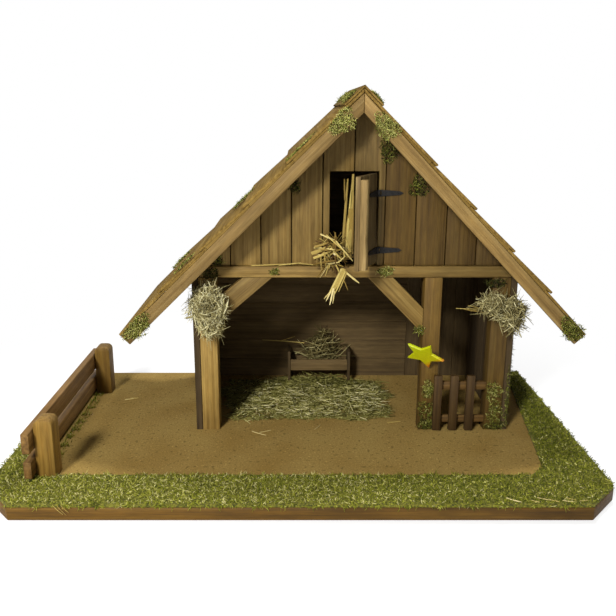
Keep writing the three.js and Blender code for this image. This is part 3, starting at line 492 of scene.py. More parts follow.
TURF_BLADE_SPACING = 0.00165
TURF_ROOT_HEIGHT = 0.0178
turf_strips = {
    "turf_front": [
        (-0.35, -0.139), (-0.35, -0.163), (-0.312, -0.2045), (0.312, -0.2045), (0.35, -0.163),
        (0.35, -0.121), (0.285, -0.121), (0.265, -0.139)],
    "turf_left": [(-0.3495, 0.2045), (-0.3495, -0.139), (-0.305, -0.139), (-0.305, 0.2045)],
    "turf_right": [(0.285, -0.121), (0.3495, -0.121), (0.3495, 0.2045), (0.33, 0.2045)],
}
# The flock is painted paler in the middle of the front, painted light where a lamp's shadow falls, and darker
# on the right, painted shade.
STRIP_TONE_PLACES = (-0.35, 0.05, 0.2, 0.35)
strip_tones_with_painted_light_and_shade = {"turf_front": (0.56, 0.62, 0.26, 0.26), "turf_left": (0.52,) * 4, "turf_right": (0.26,) * 4}
moss_shapes = [
    bar_shape(0.0034, 0.0009, 0.0006, [(0.0006, 0)], tip=0.3, sides=3),
    bar_shape(0.0026, 0.0013, 0.0005, [(0.0003, 0)], tip=0.5, sides=4),
    bar_shape(0.0046, 0.0007, 0.0005, [(0.0004, 0), (0.0018, 0)], tip=0.3, sides=3),
]
turf_flock = dried_plant("turf_flock", [
    (0.0, tint(62, 70, 12)), (0.35, tint(116, 120, 28)), (0.65, tint(150, 152, 46)),
    (0.88, tint(180, 176, 80)), (1.0, tint(216, 208, 140))], patch=(0.92, 1.08))
for strip, outline in turf_strips.items():
    roots = scattered(outline, TURF_BLADE_SPACING, 0.004)
    roots = np.clip(roots, (-0.3498, -0.2048), (0.3498, 0.2048))
    count = len(roots)
    clump = swell(roots, 0.011, 2.0) + 0.6 * swell(roots, 0.005, 5.0)
    heights = TURF_ROOT_HEIGHT + 0.0014 * (clump + 0.6) + dice.uniform(-0.0006, 0.0006, count)
    leans = dice.normal(0, 1, (count, 2))
    strip_tone = np.interp(roots[:, 0], STRIP_TONE_PLACES, strip_tones_with_painted_light_and_shade[strip])
    tones = np.clip(strip_tone + 0.27 * clump + dice.normal(0, 0.29, count), 0, 1)
    piece = strew(
        strip, moss_shapes, dice.choice(3, count, p=[0.45, 0.4, 0.15]),
        np.column_stack([roots, heights]), np.column_stack([leans, dice.uniform(0.25, 1.3, count)]),
        dice.uniform(0.75, 1.35, count), tones)
    finish_piece(piece, turf_flock, "stable", "turf")

# Loose coarse flakes lie on the flock, strands hang over the front edge, and tufts stand at the fence.
flake_roots = np.concatenate([scattered(outline, 0.0075, 0.004) for outline in turf_strips.values()])
flake_roots = np.clip(flake_roots, (-0.347, -0.2025), (0.347, 0.2025))
flake_count = len(flake_roots)
flake_tones = dice.choice([0.1, 0.88], flake_count, p=[0.5, 0.5]) + dice.normal(0, 0.1, flake_count)
flakes = strew(
    "turf_flakes", moss_shapes, dice.choice(3, flake_count, p=[0.3, 0.4, 0.3]),
    np.column_stack([flake_roots, dice.uniform(0.0192, 0.0212, flake_count)]),
    np.column_stack([dice.normal(0, 1, (flake_count, 2)), dice.uniform(-0.1, 0.5, flake_count)]),
    dice.uniform(0.9, 1.4, flake_count), np.clip(flake_tones, 0, 1))
finish_piece(flakes, turf_flock, "stable", "turf")
fringe_count = 420
fringe_x = dice.uniform(-0.31, 0.31, fringe_count)
fringe_x = fringe_x + 0.006 * np.sin(fringe_x * 190)
fringe = strew(
    "turf_fringe", moss_shapes, dice.choice(3, fringe_count, p=[0.35, 0.2, 0.45]),
    np.column_stack([
        fringe_x, np.full(fringe_count, -0.2042), dice.uniform(0.0155, 0.0185, fringe_count)]),
    np.column_stack([
        dice.normal(0, 0.6, fringe_count), dice.uniform(-0.5, -0.1, fringe_count),
        dice.uniform(-1, 0.3, fringe_count)]),
    dice.uniform(0.7, 1.3, fringe_count), tones_about(0.5, 0.25, fringe_count))
finish_piece(fringe, turf_flock, "stable", "turf")
tuft_count = 560
tuft_y = dice.uniform(-0.112, 0.116, tuft_count)
tuft_y = tuft_y + 0.004 * np.sin(tuft_y * 260)
fence_tufts = strew(
    "fence_foot_tufts", moss_shapes, dice.choice(3, tuft_count, p=[0.3, 0.2, 0.5]),
    np.column_stack([
        -0.2985 + 0.0035 * dice.uniform(0, 1, tuft_count) ** 2 * 3, tuft_y, np.full(tuft_count, 0.0158)]),
    np.column_stack([
        dice.normal(0.25, 0.35, tuft_count), dice.normal(0, 0.4, tuft_count), np.ones(tuft_count)]),
    dice.uniform(0.8, 1.5, tuft_count), tones_about(0.5, 0.25, tuft_count))
finish_piece(fence_tufts, turf_flock, "stable", "turf")
turf_mat_material, turf_mat_tree = new_material("turf_ground")
turf_mat_place = shader_node(turf_mat_tree, "ShaderNodeTexCoord").outputs["Object"]
turf_mat_noise = noise_on(turf_mat_tree, turf_mat_place, (420, 420, 420), 4)
turf_mat_colour = ramp_on(turf_mat_tree, turf_mat_noise, [
    (0.35, tint(56, 56, 12)), (0.5, tint(98, 96, 24)), (0.7, tint(136, 130, 42))])
turf_mat_tree.links.new(turf_mat_colour, turf_mat_tree.nodes["Principled BSDF"].inputs["Base Color"])
turf_mat_tree.nodes["Principled BSDF"].inputs["Roughness"].default_value = 1.0
relief(turf_mat_tree, turf_mat_noise, 0.002)
paint_node("turf", turf_mat_material)


# Carcass: three square posts, the front beam on them and two braces.
# Sawn square timber stained mid-brown, glued; the arrises are rubbed round by hand.
# The inner and right posts take a deeper stain and are painted darker still: painted shade.
def timber(node, along, board, material, shade, edge=0.0009, slot="timber"):
    """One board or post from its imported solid, sanded and stained."""
    piece = copy_of(node, node + "_stained")
    ease_edges(piece, edge)
    lay_grain(piece, along, board, shade)
    finish_piece(piece, material, "stable", slot, node)
    return piece


brown_stain = stained_wood("brown_stain", tint(96, 72, 28), tint(132, 105, 52), tint(156, 130, 72))
deep_stain = stained_wood("deep_stain", tint(74, 52, 14), tint(104, 78, 30), tint(126, 100, 44))
# The left post is painted lighter, painted light; the inner post is painted darker towards its foot, the right
# post darker all over and the beam darker towards its right end: painted shade.
timber("left_post", (0, 0, 1), 2, brown_stain, 1.2)
timber("inner_post", (0, 0, 1), 3, deep_stain, (0.6, 0.9))
timber("right_post", (0, 0, 1), 4, deep_stain, 0.55)
timber("front_beam", (1, 0, 0), 5, brown_stain, (1.0, 0.6))
timber("left_brace", (0.07, 0, 0.0607), 6, brown_stain, 0.7)
timber("right_brace", (-0.071, 0, 0.0727), 7, brown_stain, 0.9)


# Walls and loft floor.
# Thin boards side by side, stained dark.
# The back is boarded level behind the room and upright in the right bay.
THIN_BOARD_EDGE = 0.0006


def saw_into_boards(piece, across, seams, gap):
    """Saws a piece across a direction at the seams and returns the separate boards."""
    direction = Vector(across).normalized()
    cuts = [-1.0, *seams, 1.0]
    boards = []
    for index, (start, end) in enumerate(zip(cuts, cuts[1:])):
        pick_only(piece)
        bpy.ops.object.duplicate()
        board = bpy.context.object
        bpy.ops.object.mode_set(mode="EDIT")
        bpy.ops.mesh.select_all(action="SELECT")
        bpy.ops.mesh.bisect(
            plane_co=direction * (start + gap / 2), plane_no=direction, use_fill=True, clear_inner=True)
        bpy.ops.mesh.select_all(action="SELECT")
        bpy.ops.mesh.bisect(
            plane_co=direction * (end - gap / 2), plane_no=direction, use_fill=True, clear_outer=True)
        bpy.ops.object.mode_set(mode="OBJECT")
        boards.append(board)
    bpy.data.objects.remove(piece)
    return boards


def join_boards(boards, name):
    pick_only(boards[0])
    for board in boards[1:]:
        board.select_set(True)
    bpy.ops.object.join()
    bpy.context.object.name = name
    return bpy.context.object


def boarded(node, along, across, seams, first_board, material, shade):
    """A wall or floor of boards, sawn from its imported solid."""
    boards = saw_into_boards(copy_of(node, node + "_boards"), across, seams, 0)
    for index, board in enumerate(boards):
        ease_edges(board, THIN_BOARD_EDGE, 1)
        lay_grain(board, along, first_board + index, shade * dice.uniform(0.88, 1.1))
    piece = join_boards(boards, node + "_boards")
    finish_piece(piece, material, "stable", "dark_timber", node)


dark_stain = stained_wood("dark_stain", tint(82, 64, 38), tint(104, 84, 50), tint(122, 100, 62), (0.6, 0.8))
bark_stain = stained_wood(
    "bark_stain", tint(50, 38, 22), tint(78, 62, 38), tint(104, 86, 56), (0.7, 0.9), 0.0012)
boarded("left_wall", (0, 0, 1), (0, 1, 0), [0.028, 0.066, 0.104, 0.142], 20, bark_stain, 0.9)
boarded("right_wall", (0, 0, 1), (0, 1, 0), [0.028, 0.066, 0.104, 0.142], 30, bark_stain, 0.75)
boarded("loft_floor", (1, 0, 0), (0, 1, 0), [0.052, 0.09, 0.128, 0.166], 40, dark_stain, 0.8)
RIGHT_BAY_SEAM = 0.167
whole_back = copy_of("back_wall", "back_wall_right")
back_left, back_right = saw_into_boards(whole_back, (1, 0, 0), [RIGHT_BAY_SEAM], 0)
back_boards = saw_into_boards(
    back_left, (0, 0, 1), [0.045, 0.075, 0.105, 0.135, 0.165, 0.195, 0.232, 0.27, 0.308, 0.346], 0)
# The level boards are painted darker towards their right ends: painted shade.
for index, board in enumerate(back_boards):
    ease_edges(board, THIN_BOARD_EDGE, 1)
    shade = dice.uniform(0.92, 1.08)
    lay_grain(board, (1, 0, 0), 50 + index, (0.9 * shade, 0.66 * shade))
upright_boards = saw_into_boards(back_right, (1, 0, 0), [0.187, 0.205, 0.223, 0.241], 0)
for index, board in enumerate(upright_boards):
    ease_edges(board, THIN_BOARD_EDGE, 1)
    lay_grain(board, (0, 0, 1), 70 + index, dice.uniform(0.42, 0.56))
back_wall = join_boards(back_boards + upright_boards, "back_wall_boards")
finish_piece(back_wall, dark_stain, "stable", "dark_timber", "back_wall")


# Gable boards.
# Ten upright boards from the same plank, butted side by side with a shadow gap, two cut for the hatch.
# The boards on the right take a deeper stain. All the boards are painted darker from left to right, and the
# board beside the hatch darker than its neighbours: painted shade.
gable_stain_and_painted_shade = [1.05, 0.98, 0.78, 0.72, 0.66, 0.5, 0.66, 0.56, 0.5, 0.45]
for index, shade in enumerate(gable_stain_and_painted_shade, 1):
    stain = brown_stain if index < 7 else deep_stain
    timber(f"gable_board_{index}", (0, 0, 1), 80 + index, stain, shade, 0.0008)


# Barge boards.
# Two pale planed laths under the front edge of the roof, mitred at the ridge.
pale_stain = stained_wood("pale_stain", tint(114, 86, 42), tint(150, 120, 66), tint(174, 146, 92))
timber("barge_board_left", (-0.2895, 0, -0.284), 95, pale_stain, 0.66, slot="pale_timber")
timber("barge_board_right", (0.273, 0, -0.284), 96, pale_stain, (0.86, 0.7), slot="pale_timber")


# Roof.
# Five boards on each slope, each lapped over the one below, and two ridge boards, stained matt.
# Their grain runs front to back, and their front ends are as light as the barge boards under them.
# Tapered slips close the gap under each lap at the front and back edges.
FRONT_END_SHADE = 0.9
roof_stain = stained_wood(
    "roof_stain", tint(96, 72, 28), tint(132, 105, 52), tint(156, 130, 72), (0.8, 0.95), gloss=0.06)


def lighten_front_end(piece):
    front = min(corner.co.y for corner in piece.data.vertices)
    layer = piece.data.attributes["shade"]
    for corner in piece.data.vertices:
        if corner.co.y < front + 1e-5:
            layer.data[corner.index].value = FRONT_END_SHADE


for index in range(1, 6):
    for label, first_board in (("left", 100), ("right", 110)):
        lighten_front_end(timber(
            f"roof_{label}_course_{index}", (0, 1, 0), first_board + index, roof_stain,
            0.74 + 0.05 * (index % 3), slot="roof_boards"))
for label, board in (("left", 120), ("right", 121)):
    lighten_front_end(timber(f"ridge_cap_{label}", (0, 1, 0), board, roof_stain, 0.6, slot="roof_boards"))

RIDGE_LINE = Vector((0.072, 0, 0.4407))
LEFT_DOWN, LEFT_UP = Vector((-0.7139, 0, -0.7002)), Vector((-0.7002, 0, 0.7139))
RIGHT_DOWN, RIGHT_UP = Vector((0.6931, 0, -0.7209)), Vector((0.7209, 0, 0.6931))
FIRST_COURSE_END, COURSE_LAP = 0.117, 0.008
SLIP_HEIGHT, FIRST_SLIP_START = 0.0036, 0.012
FRONT_EDGE, BACK_EDGE = (-0.0496, -0.0424), (0.1964, 0.2036)


def verge_slip(down, up, start, end, front, back):
    """A wedge on the roof plane, from nothing at its upper end to its full height at its lower end."""
    middle = RIDGE_LINE + down * (start + end) / 2 + up * (SLIP_HEIGHT / 2 + 0.0003)
    lean = math.atan2(up.x, up.z)
    bpy.ops.object.select_all(action="DESELECT")
    bpy.ops.mesh.primitive_cube_add(
        size=1, location=(middle.x, (front + back) / 2, middle.z), rotation=(0, lean, 0),
        scale=(end - start, back - front, SLIP_HEIGHT))
    bpy.ops.object.transform_apply()
    slip = bpy.context.object
    clear_picks(slip)
    for corner in slip.data.vertices:
        place = corner.co - middle
        corner.select = place.dot(down) < 0 and place.dot(up) > 0
    bpy.ops.object.mode_set(mode="EDIT")
    bpy.ops.transform.translate(value=up * (0.0002 - SLIP_HEIGHT))
    bpy.ops.object.mode_set(mode="OBJECT")
    return slip


for label, down, up, exposure in (
        ("left", LEFT_DOWN, LEFT_UP, 0.0721), ("right", RIGHT_DOWN, RIGHT_UP, 0.0692)):
    slips = []
    for index in range(4):
        end = FIRST_COURSE_END + index * exposure - COURSE_LAP
        start = end - exposure if index else FIRST_SLIP_START
        for front, back in (FRONT_EDGE, BACK_EDGE):
            slips.append(verge_slip(down, up, start + 0.0004, end - 0.0002, front, back))
    verge_slips = join_boards(slips, f"verge_slips_{label}")
    lay_grain(verge_slips, down, 125, 0.85)
    finish_piece(verge_slips, roof_stain, "stable", "roof_boards")


# Hatch leaf.
# Two upright boards, painted dark as painted shade, and a paler weathered lath along their free edge, swung
# open on strap hinges.
HATCH_ANGLE = math.radians(64)
HINGE_LINE = Vector((0.09575, -0.008, 0.29))
leaf_across = Vector((math.cos(HATCH_ANGLE), math.sin(HATCH_ANGLE), 0))
leaf_out = Vector((math.sin(HATCH_ANGLE), -math.cos(HATCH_ANGLE), 0))
weathered_stain = stained_wood(
    "weathered_stain", tint(68, 50, 26), tint(120, 98, 58), tint(172, 150, 100), depth=0.0009)
leaf_seams = [HINGE_LINE.dot(leaf_across) - reach for reach in (0.0548, 0.03)]
leaf_boards = saw_into_boards(copy_of("hatch_leaf", "hatch_leaf_boards"), leaf_across, leaf_seams, 0.0007)
# The lath keeps its pale stain; the two boards are painted dark: painted shade.
for index, (board, shade) in enumerate(zip(leaf_boards, (0.92, 0.55, 0.5))):
    ease_edges(board, 0.0007)
    lay_grain(board, (0, 0, 1), 130 + index, shade)
hatch_leaf = join_boards(leaf_boards, "hatch_leaf_boards")
finish_piece(hatch_leaf, weathered_stain, "hatch_door", "timber", "hatch_leaf")

# A hewn batten is glued on its outer side along the free edge.
BATTEN_WIDTH, BATTEN_THICKNESS = 0.0085, 0.0085
BATTEN_FOOT, BATTEN_TOP = 0.2405, 0.3455
LEAF_REACH, LEAF_FACE_DEPTH = 0.0577, 0.002
batten_middle = HINGE_LINE - leaf_across * (LEAF_REACH - BATTEN_WIDTH / 2)
batten_middle += leaf_out * (BATTEN_THICKNESS / 2 - LEAF_FACE_DEPTH)
bpy.ops.object.select_all(action="DESELECT")
bpy.ops.mesh.primitive_cube_add(
    size=1, location=(batten_middle.x, batten_middle.y, (BATTEN_FOOT + BATTEN_TOP) / 2),
    rotation=(0, 0, HATCH_ANGLE), scale=(BATTEN_WIDTH, BATTEN_THICKNESS, BATTEN_TOP - BATTEN_FOOT))
batten = bpy.context.object
batten.name = "hatch_batten"
bpy.ops.object.transform_apply()
batten_steps = np.linspace(BATTEN_FOOT, BATTEN_TOP, 10)
bpy.ops.object.mode_set(mode="EDIT")
for height in batten_steps[1:-1]:
    bpy.ops.mesh.select_all(action="SELECT")
    bpy.ops.mesh.bisect(plane_co=(0, 0, height), plane_no=(0, 0, 1))
bpy.ops.mesh.select_all(action="DESELECT")
bpy.ops.object.mode_set(mode="OBJECT")
for height in batten_steps[1:]:
    clear_picks(batten)
    for corner in batten.data.vertices:
        outer = (corner.co - batten_middle).dot(leaf_out) > 0
        corner.select = outer and abs(corner.co.z - height) < 1e-5
    bpy.ops.object.mode_set(mode="EDIT")
    bpy.ops.transform.translate(value=leaf_out * dice.uniform(-0.0012, 0.0006))
    bpy.ops.object.mode_set(mode="OBJECT")
ease_edges(batten, 0.0009)
lay_grain(batten, (0, 0, 1), 133, 1.4)
finish_piece(batten, weathered_stain, "hatch_door", "timber")


# Strap hinges.
# Blackened sheet-iron straps with rolled knuckles on a riveted pin, fixed with round-headed nails.
iron_material, iron_tree = new_material("blackened_iron")
iron_place = shader_node(iron_tree, "ShaderNodeTexCoord").outputs["Object"]
iron_scale = noise_on(iron_tree, iron_place, (260, 260, 260), 4)
iron_dents = noise_on(iron_tree, iron_place, (700, 700, 700), 2)
iron_shader = iron_tree.nodes["Principled BSDF"]
iron_colour = ramp_on(iron_tree, iron_scale, [
    (0.3, tint(18, 17, 16)), (0.6, tint(32, 30, 28)), (0.78, tint(62, 50, 40))])
iron_tree.links.new(iron_colour, iron_shader.inputs["Base Color"])
iron_shader.inputs["Metallic"].default_value = 0.4
iron_shader.inputs["Specular IOR Level"].default_value = 0.3
iron_tree.links.new(spread(iron_tree, iron_scale, 0.5, 0.75), iron_shader.inputs["Roughness"])
relief(iron_tree, iron_dents, 0.0003)
for hinge in ("upper", "lower"):
    for side in ("wall", "leaf"):
        paint_node(f"{hinge}_hinge_{side}_strap", iron_material)
NAIL_RADIUS = 0.0009


def nail_heads(name, places, facing, body):
    """Round nail heads, domed and a little flattened, driven in along one direction."""
    heads = []
    turn = Vector(facing).to_track_quat("Z", "Y").to_euler()
    for place in places:
        bpy.ops.object.select_all(action="DESELECT")
        bpy.ops.mesh.primitive_uv_sphere_add(
            segments=10, ring_count=6, radius=NAIL_RADIUS, location=place, rotation=turn, scale=(1, 1, 0.55))
        bpy.ops.object.transform_apply()
        bpy.ops.object.shade_smooth()
        heads.append(bpy.context.object)
    piece = join_boards(heads, name)
    finish_piece(piece, iron_material, body, "black_iron")


STRAP_HEIGHTS, NAIL_REACHES = (0.325, 0.255), (0.008, 0.016, 0.0235)
WALL_STRAP_FRONT, LEAF_STRAP_DEPTH = -0.0076, 0.0004
wall_nails = [
    (HINGE_LINE.x + reach, WALL_STRAP_FRONT, height) for height in STRAP_HEIGHTS for reach in NAIL_REACHES]
nail_heads("wall_strap_nails", wall_nails, (0, -1, 0), "stable")
leaf_nails = []
for height in STRAP_HEIGHTS:
    for reach in NAIL_REACHES:
        spot = HINGE_LINE - leaf_across * reach - leaf_out * LEAF_STRAP_DEPTH
        leaf_nails.append((spot.x, spot.y, height))
nail_heads("leaf_strap_nails", leaf_nails, leaf_out, "hatch_door")


# Fence along the left edge.
# Two stout posts with rounded tops and two rails fixed to their outer side.
timber("fence_post_front", (0, 0, 1), 140, deep_stain, 1.45, 0.0012)
timber("fence_post_rear", (0, 0, 1), 141, deep_stain, 1.1, 0.0012)
rail_stain = stained_wood("rail_stain", tint(66, 46, 18), tint(104, 76, 36), tint(130, 100, 54))
timber("fence_rail_top", (0, 1, 0), 142, rail_stain, 1.2, 0.001, slot="dark_timber")
timber("fence_rail_lower", (0, 1, 0), 143, rail_stain, 1.1, 0.001, slot="dark_timber")


# Picket fence in the right bay.
# Three pickets on two rails between the posts.
timber("picket_rail_top", (1, 0, 0), 150, rail_stain, 0.7, 0.0006, slot="dark_timber")
timber("picket_rail_lower", (1, 0, 0), 151, rail_stain, 0.7, 0.0006, slot="dark_timber")
for index in range(1, 4):
    timber(f"picket_{index}", (0, 0, 1), 151 + index, rail_stain, (0.28, 0.4))


# Manger.
# Two ends with legs and a trough between them, of thin stained board.
# The ends are painted darker than the trough: painted shade.
timber("manger_end_left", (0, 0, 1), 160, dark_stain, 0.5, 0.0005)
timber("manger_end_right", (0, 0, 1), 161, dark_stain, 0.4, 0.0005)
timber("manger_trough", (1, 0, 0), 162, dark_stain, 0.95, 0.0005)


# Hay in the manger and hay tufts under the eaves.
# Dried grass: bent stalks and narrow leaves, heaped in the trough and wound into loose balls at the posts.
hay_shapes = [
    bar_shape(
        0.026, 0.0011, 0.0008, [(0.0012, 0), (0.0038, 0.0006), (0.0084, 0.001), (0.015, 0.001)],
        tip=0.5, sides=3),
    bar_shape(0.02, 0.0012, 0.0008, [(0.0014, 0.001), (0.0046, 0.003), (0.01, 0.004)], tip=0.5, sides=3),
    bar_shape(0.03, 0.001, 0.0007, [(0.0005, 0), (0.002, 0.0006), (0.005, 0.0015)], tip=0.5, sides=3),
    bar_shape(0.022, 0.0021, 0.0006, [(0.001, 0), (0.003, 0.001), (0.0065, 0.003)], tip=0.4, sides=4),
]
hay_grass = dried_plant("hay_grass", [
    (0.0, tint(84, 74, 38)), (0.35, tint(142, 130, 82)),
    (0.7, tint(198, 186, 128)), (1.0, tint(236, 228, 178))])
HAY_FOOT, HAY_TIP, POST_FRONT = 0.009, 0.022, -0.0115


def hay_ball(name, lobes, node, tone, pull):
    """A loose ball of hay in a few lobes, pulled along one direction, and flat behind against the post.

    Each lobe is told by its centre, its radii and its number of stalks."""
    centres = np.concatenate([np.tile(centre, (number, 1)) for centre, radii, number in lobes])
    sizes = np.concatenate([np.tile(radii, (number, 1)) for centre, radii, number in lobes])
    count = len(centres)
    directions = dice.normal(0, 1, (count, 3))
    directions /= np.linalg.norm(directions, axis=1, keepdims=True)
    shell = dice.uniform(0, 1, (count, 1)) ** 0.42
    round_it = np.cross(directions, dice.normal(0, 1, (count, 3))) + 0.4 * dice.normal(0, 1, (count, 3))
    round_it += np.array(pull) * dice.choice([-1, 1], (count, 1))
    round_it[:, 1] *= 0.5
    places = centres + directions * shell * sizes
    ahead = round_it / np.linalg.norm(round_it, axis=1, keepdims=True)
    places = places - ahead * HAY_FOOT
    too_far_back = (places + ahead * HAY_TIP)[:, 1] > POST_FRONT
    ahead[too_far_back, 1] = -np.abs(ahead[too_far_back, 1]) - 0.05
    places[:, 1] = np.minimum(places[:, 1], POST_FRONT)
    # Stalks are painted darker the deeper they lie in the ball: painted shade.
    tones = np.clip(tone + dice.normal(0, 0.28, count) + 0.9 * (shell[:, 0] - 0.8), 0, 1)
    turns = aim(ahead, np.zeros(count))
    inward = [-np.einsum("ni,ni->n", directions, turns[:, :, side]) for side in (0, 1)]
    rolls = np.arctan2(inward[1], inward[0]) + dice.normal(0, 0.4, count)
    piece = strew(name, hay_shapes, dice.choice(4, count, p=[0.4, 0.3, 0.14, 0.16]), places, ahead,
                  dice.uniform(0.55, 1.05, count), tones, rolls)
    finish_piece(piece, hay_grass, "stable", "hay", node)


hay_ball("hay_ball_left", [
    ((-0.114, -0.0235, 0.186), (0.0265, 0.013, 0.023), 1000),
    ((-0.1155, -0.0235, 0.2), (0.014, 0.011, 0.017), 200),
    ((-0.111, -0.0235, 0.165), (0.018, 0.012, 0.018), 380)], "hay_tuft_left", 0.62, (0, 0, 0.8))
hay_ball("hay_ball_right", [
    ((0.262, -0.0235, 0.181), (0.02, 0.012, 0.017), 620),
    ((0.241, -0.0235, 0.19), (0.019, 0.011, 0.015), 420),
    ((0.266, -0.0235, 0.167), (0.013, 0.011, 0.015), 240)], "hay_tuft_right", 0.42, (0.5, 0, 0))

heap_shapes = [
    bar_shape(0.03, 0.0024, 0.0008, [(0.001, 0), (0.003, 0.001), (0.0045, 0.001)], tip=0.5, sides=5),
    bar_shape(0.034, 0.0017, 0.0008, [(0, 0.001), (-0.0015, 0.002), (-0.003, 0.0045)], tip=0.5, sides=4),
    bar_shape(0.024, 0.0012, 0.0008, [(0.0005, 0), (0.002, 0.001)], tip=0.6, sides=3),
]
heap_count = 210
heap_x = dice.normal(0.034, 0.013, heap_count).clip(0.002, 0.064)
heap_rise = np.maximum(0, 1 - np.abs(heap_x - 0.036) / 0.045)
heap_places = np.column_stack([
    heap_x, dice.uniform(0.164, 0.184, heap_count), 0.044 + dice.uniform(0, 0.056, heap_count) * heap_rise])
heap_aims = np.column_stack([
    dice.normal(0, 1.0, heap_count), dice.normal(-0.05, 0.2, heap_count),
    dice.uniform(-0.1, 1.0, heap_count)])
heap_aims /= np.linalg.norm(heap_aims, axis=1, keepdims=True)
heap_places = heap_places - 0.012 * heap_aims
heap_places[:, 2] = heap_places[:, 2].clip(0.043)
manger_heap = strew(
    "manger_hay_heap", heap_shapes, dice.choice(3, heap_count, p=[0.4, 0.35, 0.25]), heap_places,
    heap_aims, dice.uniform(0.6, 1.05, heap_count), tones_about(0.06, 0.28, heap_count))
finish_piece(manger_heap, hay_grass, "stable", "hay", "manger_hay")


# Straw bed.
# Short chopped stalks strewn on the sand, thick in the middle of the room and thin at its edges.
straw_shapes = [
    bar_shape(0.013, 0.0008, 0.0006, [(0.0006, 0)], tip=0.8, sides=3),
    bar_shape(0.019, 0.0007, 0.0005, [(0.0004, 0), (0.0018, 0)], tip=0.7, sides=3),
    bar_shape(0.009, 0.0012, 0.0005, [(0.0002, 0)], tip=0.7, sides=4),
]
bed_straw = dried_plant("bed_straw", [
    (0.0, tint(78, 76, 28)), (0.4, tint(138, 132, 66)),
    (0.7, tint(184, 176, 104)), (1.0, tint(232, 222, 164))])
bed_count = 6400
bed_angle = dice.uniform(0, 2 * math.pi, bed_count)
bed_reach = dice.uniform(0, 1, bed_count) ** 0.5
bed_edge = 1 + 0.06 * np.sin(5 * bed_angle) + 0.05 * np.sin(11 * bed_angle + 1)
square = np.maximum(np.abs(np.cos(bed_angle)), np.abs(np.sin(bed_angle))) ** -0.7
BED_MIDDLE, BED_HALF_SIZES = (0.008, 0.0975), (0.119, 0.079)
bed_x = BED_MIDDLE[0] + BED_HALF_SIZES[0] * bed_reach * bed_edge * square * np.cos(bed_angle)
bed_y = BED_MIDDLE[1] + BED_HALF_SIZES[1] * bed_reach * bed_edge * square * np.sin(bed_angle)
bed_x -= 0.1 * (bed_y - BED_MIDDLE[1])
bed_depth = np.clip(1.25 - bed_reach, 0, 1)
bed_z = 0.0172 + 0.0034 * bed_depth * dice.uniform(0, 1, bed_count)
bed_aims = np.column_stack([
    dice.normal(0, 1, bed_count), 0.7 * dice.normal(0, 1, bed_count), dice.uniform(0, 0.14, bed_count)])
bed_places = np.column_stack([bed_x, bed_y, bed_z])
bed_places[:, :2] -= 0.006 * bed_aims[:, :2] / np.linalg.norm(bed_aims, axis=1, keepdims=True)
straw_bed = strew(
    "straw_bed_stalks", straw_shapes, dice.choice(3, bed_count, p=[0.45, 0.3, 0.25]), bed_places, bed_aims,
    dice.uniform(0.55, 1.25, bed_count), tones_about(0.36, 0.24, bed_count))
finish_piece(straw_bed, bed_straw, "stable", "straw", "straw_bed")

# Paler, broader stalks lie on top, and a low heap is pushed up to the manger.
top_shapes = [
    bar_shape(0.012, 0.0014, 0.0007, [(0.0005, 0)], tip=0.7, sides=4),
    bar_shape(0.017, 0.0012, 0.0007, [(0.0004, 0), (0.0016, 0)], tip=0.7, sides=4),
]
loose_count, pushed_count = 430, 620
top_count = loose_count + pushed_count
top_x = np.concatenate([dice.uniform(-0.08, 0.118, loose_count), dice.normal(0.03, 0.038, pushed_count)])
top_y = np.concatenate([dice.uniform(0.028, 0.145, loose_count), dice.uniform(0.132, 0.168, pushed_count)])
top_z = np.concatenate([
    dice.uniform(0.0195, 0.0212, loose_count),
    0.018 + dice.uniform(0, 0.011, pushed_count) * np.exp(-((top_x[loose_count:] - 0.03) / 0.05) ** 2)])
top_aims = np.column_stack([
    dice.normal(0, 1, top_count), dice.normal(0, 0.6, top_count), dice.uniform(0, 0.15, top_count)])
top_tones = np.concatenate([dice.normal(0.8, 0.16, loose_count), dice.normal(0.25, 0.22, pushed_count)])
top_stalks = strew(
    "straw_bed_top_stalks", top_shapes, dice.choice(2, top_count),
    np.column_stack([top_x.clip(-0.1, 0.125), top_y, top_z]), top_aims,
    dice.uniform(0.5, 1.1, top_count), np.clip(top_tones, 0, 1))
finish_piece(top_stalks, bed_straw, "stable", "straw")


# Straw in the hatch.
# Broad dry blades and stalks pushed through the opening: a crossed bundle on the beam,
# a few blades standing in the opening and one torn blade hanging down in front.
husk_shapes = [
    bar_shape(0.032, 0.0028, 0.0006, [(0.001, 0.002), (0.002, 0.006), (0.004, 0.012)], tip=0.5, sides=6),
    bar_shape(0.027, 0.002, 0.0006, [(0, 0.001), (-0.001, 0.004), (-0.003, 0.009)], tip=0.5, sides=6),
    bar_shape(0.034, 0.0011, 0.0007, [(0.0008, 0), (0.003, 0.0005), (0.007, 0.001)], tip=0.7, sides=4),
    bar_shape(0.02, 0.0017, 0.0005, [(0.001, 0.001), (0.004, 0.003)], tip=0.4, sides=6),
]
husk_straw = dried_plant("husk_straw", [
    (0.0, tint(78, 52, 22)), (0.35, tint(140, 114, 50)),
    (0.7, tint(190, 168, 92)), (1.0, tint(226, 210, 156))], 0.6, (0.85, 1.1))
bundle_count = 100
bundle_x = dice.normal(0.042, 0.0085, bundle_count).clip(0.026, 0.058)
bundle_z = dice.uniform(0.236, 0.268, bundle_count)
bundle_y = dice.uniform(-0.027, -0.014, bundle_count)
bundle_aims = np.column_stack([
    dice.normal(0.1, 0.75, bundle_count), dice.normal(-0.05, 0.18, bundle_count),
    dice.normal(0.0, 0.55, bundle_count)])
bundle_aims /= np.linalg.norm(bundle_aims, axis=1, keepdims=True)
bundle_places = np.column_stack([bundle_x, bundle_y, bundle_z]) - 0.015 * bundle_aims
bundle_places[:, 0] = bundle_places[:, 0].clip(0.018, 0.066)
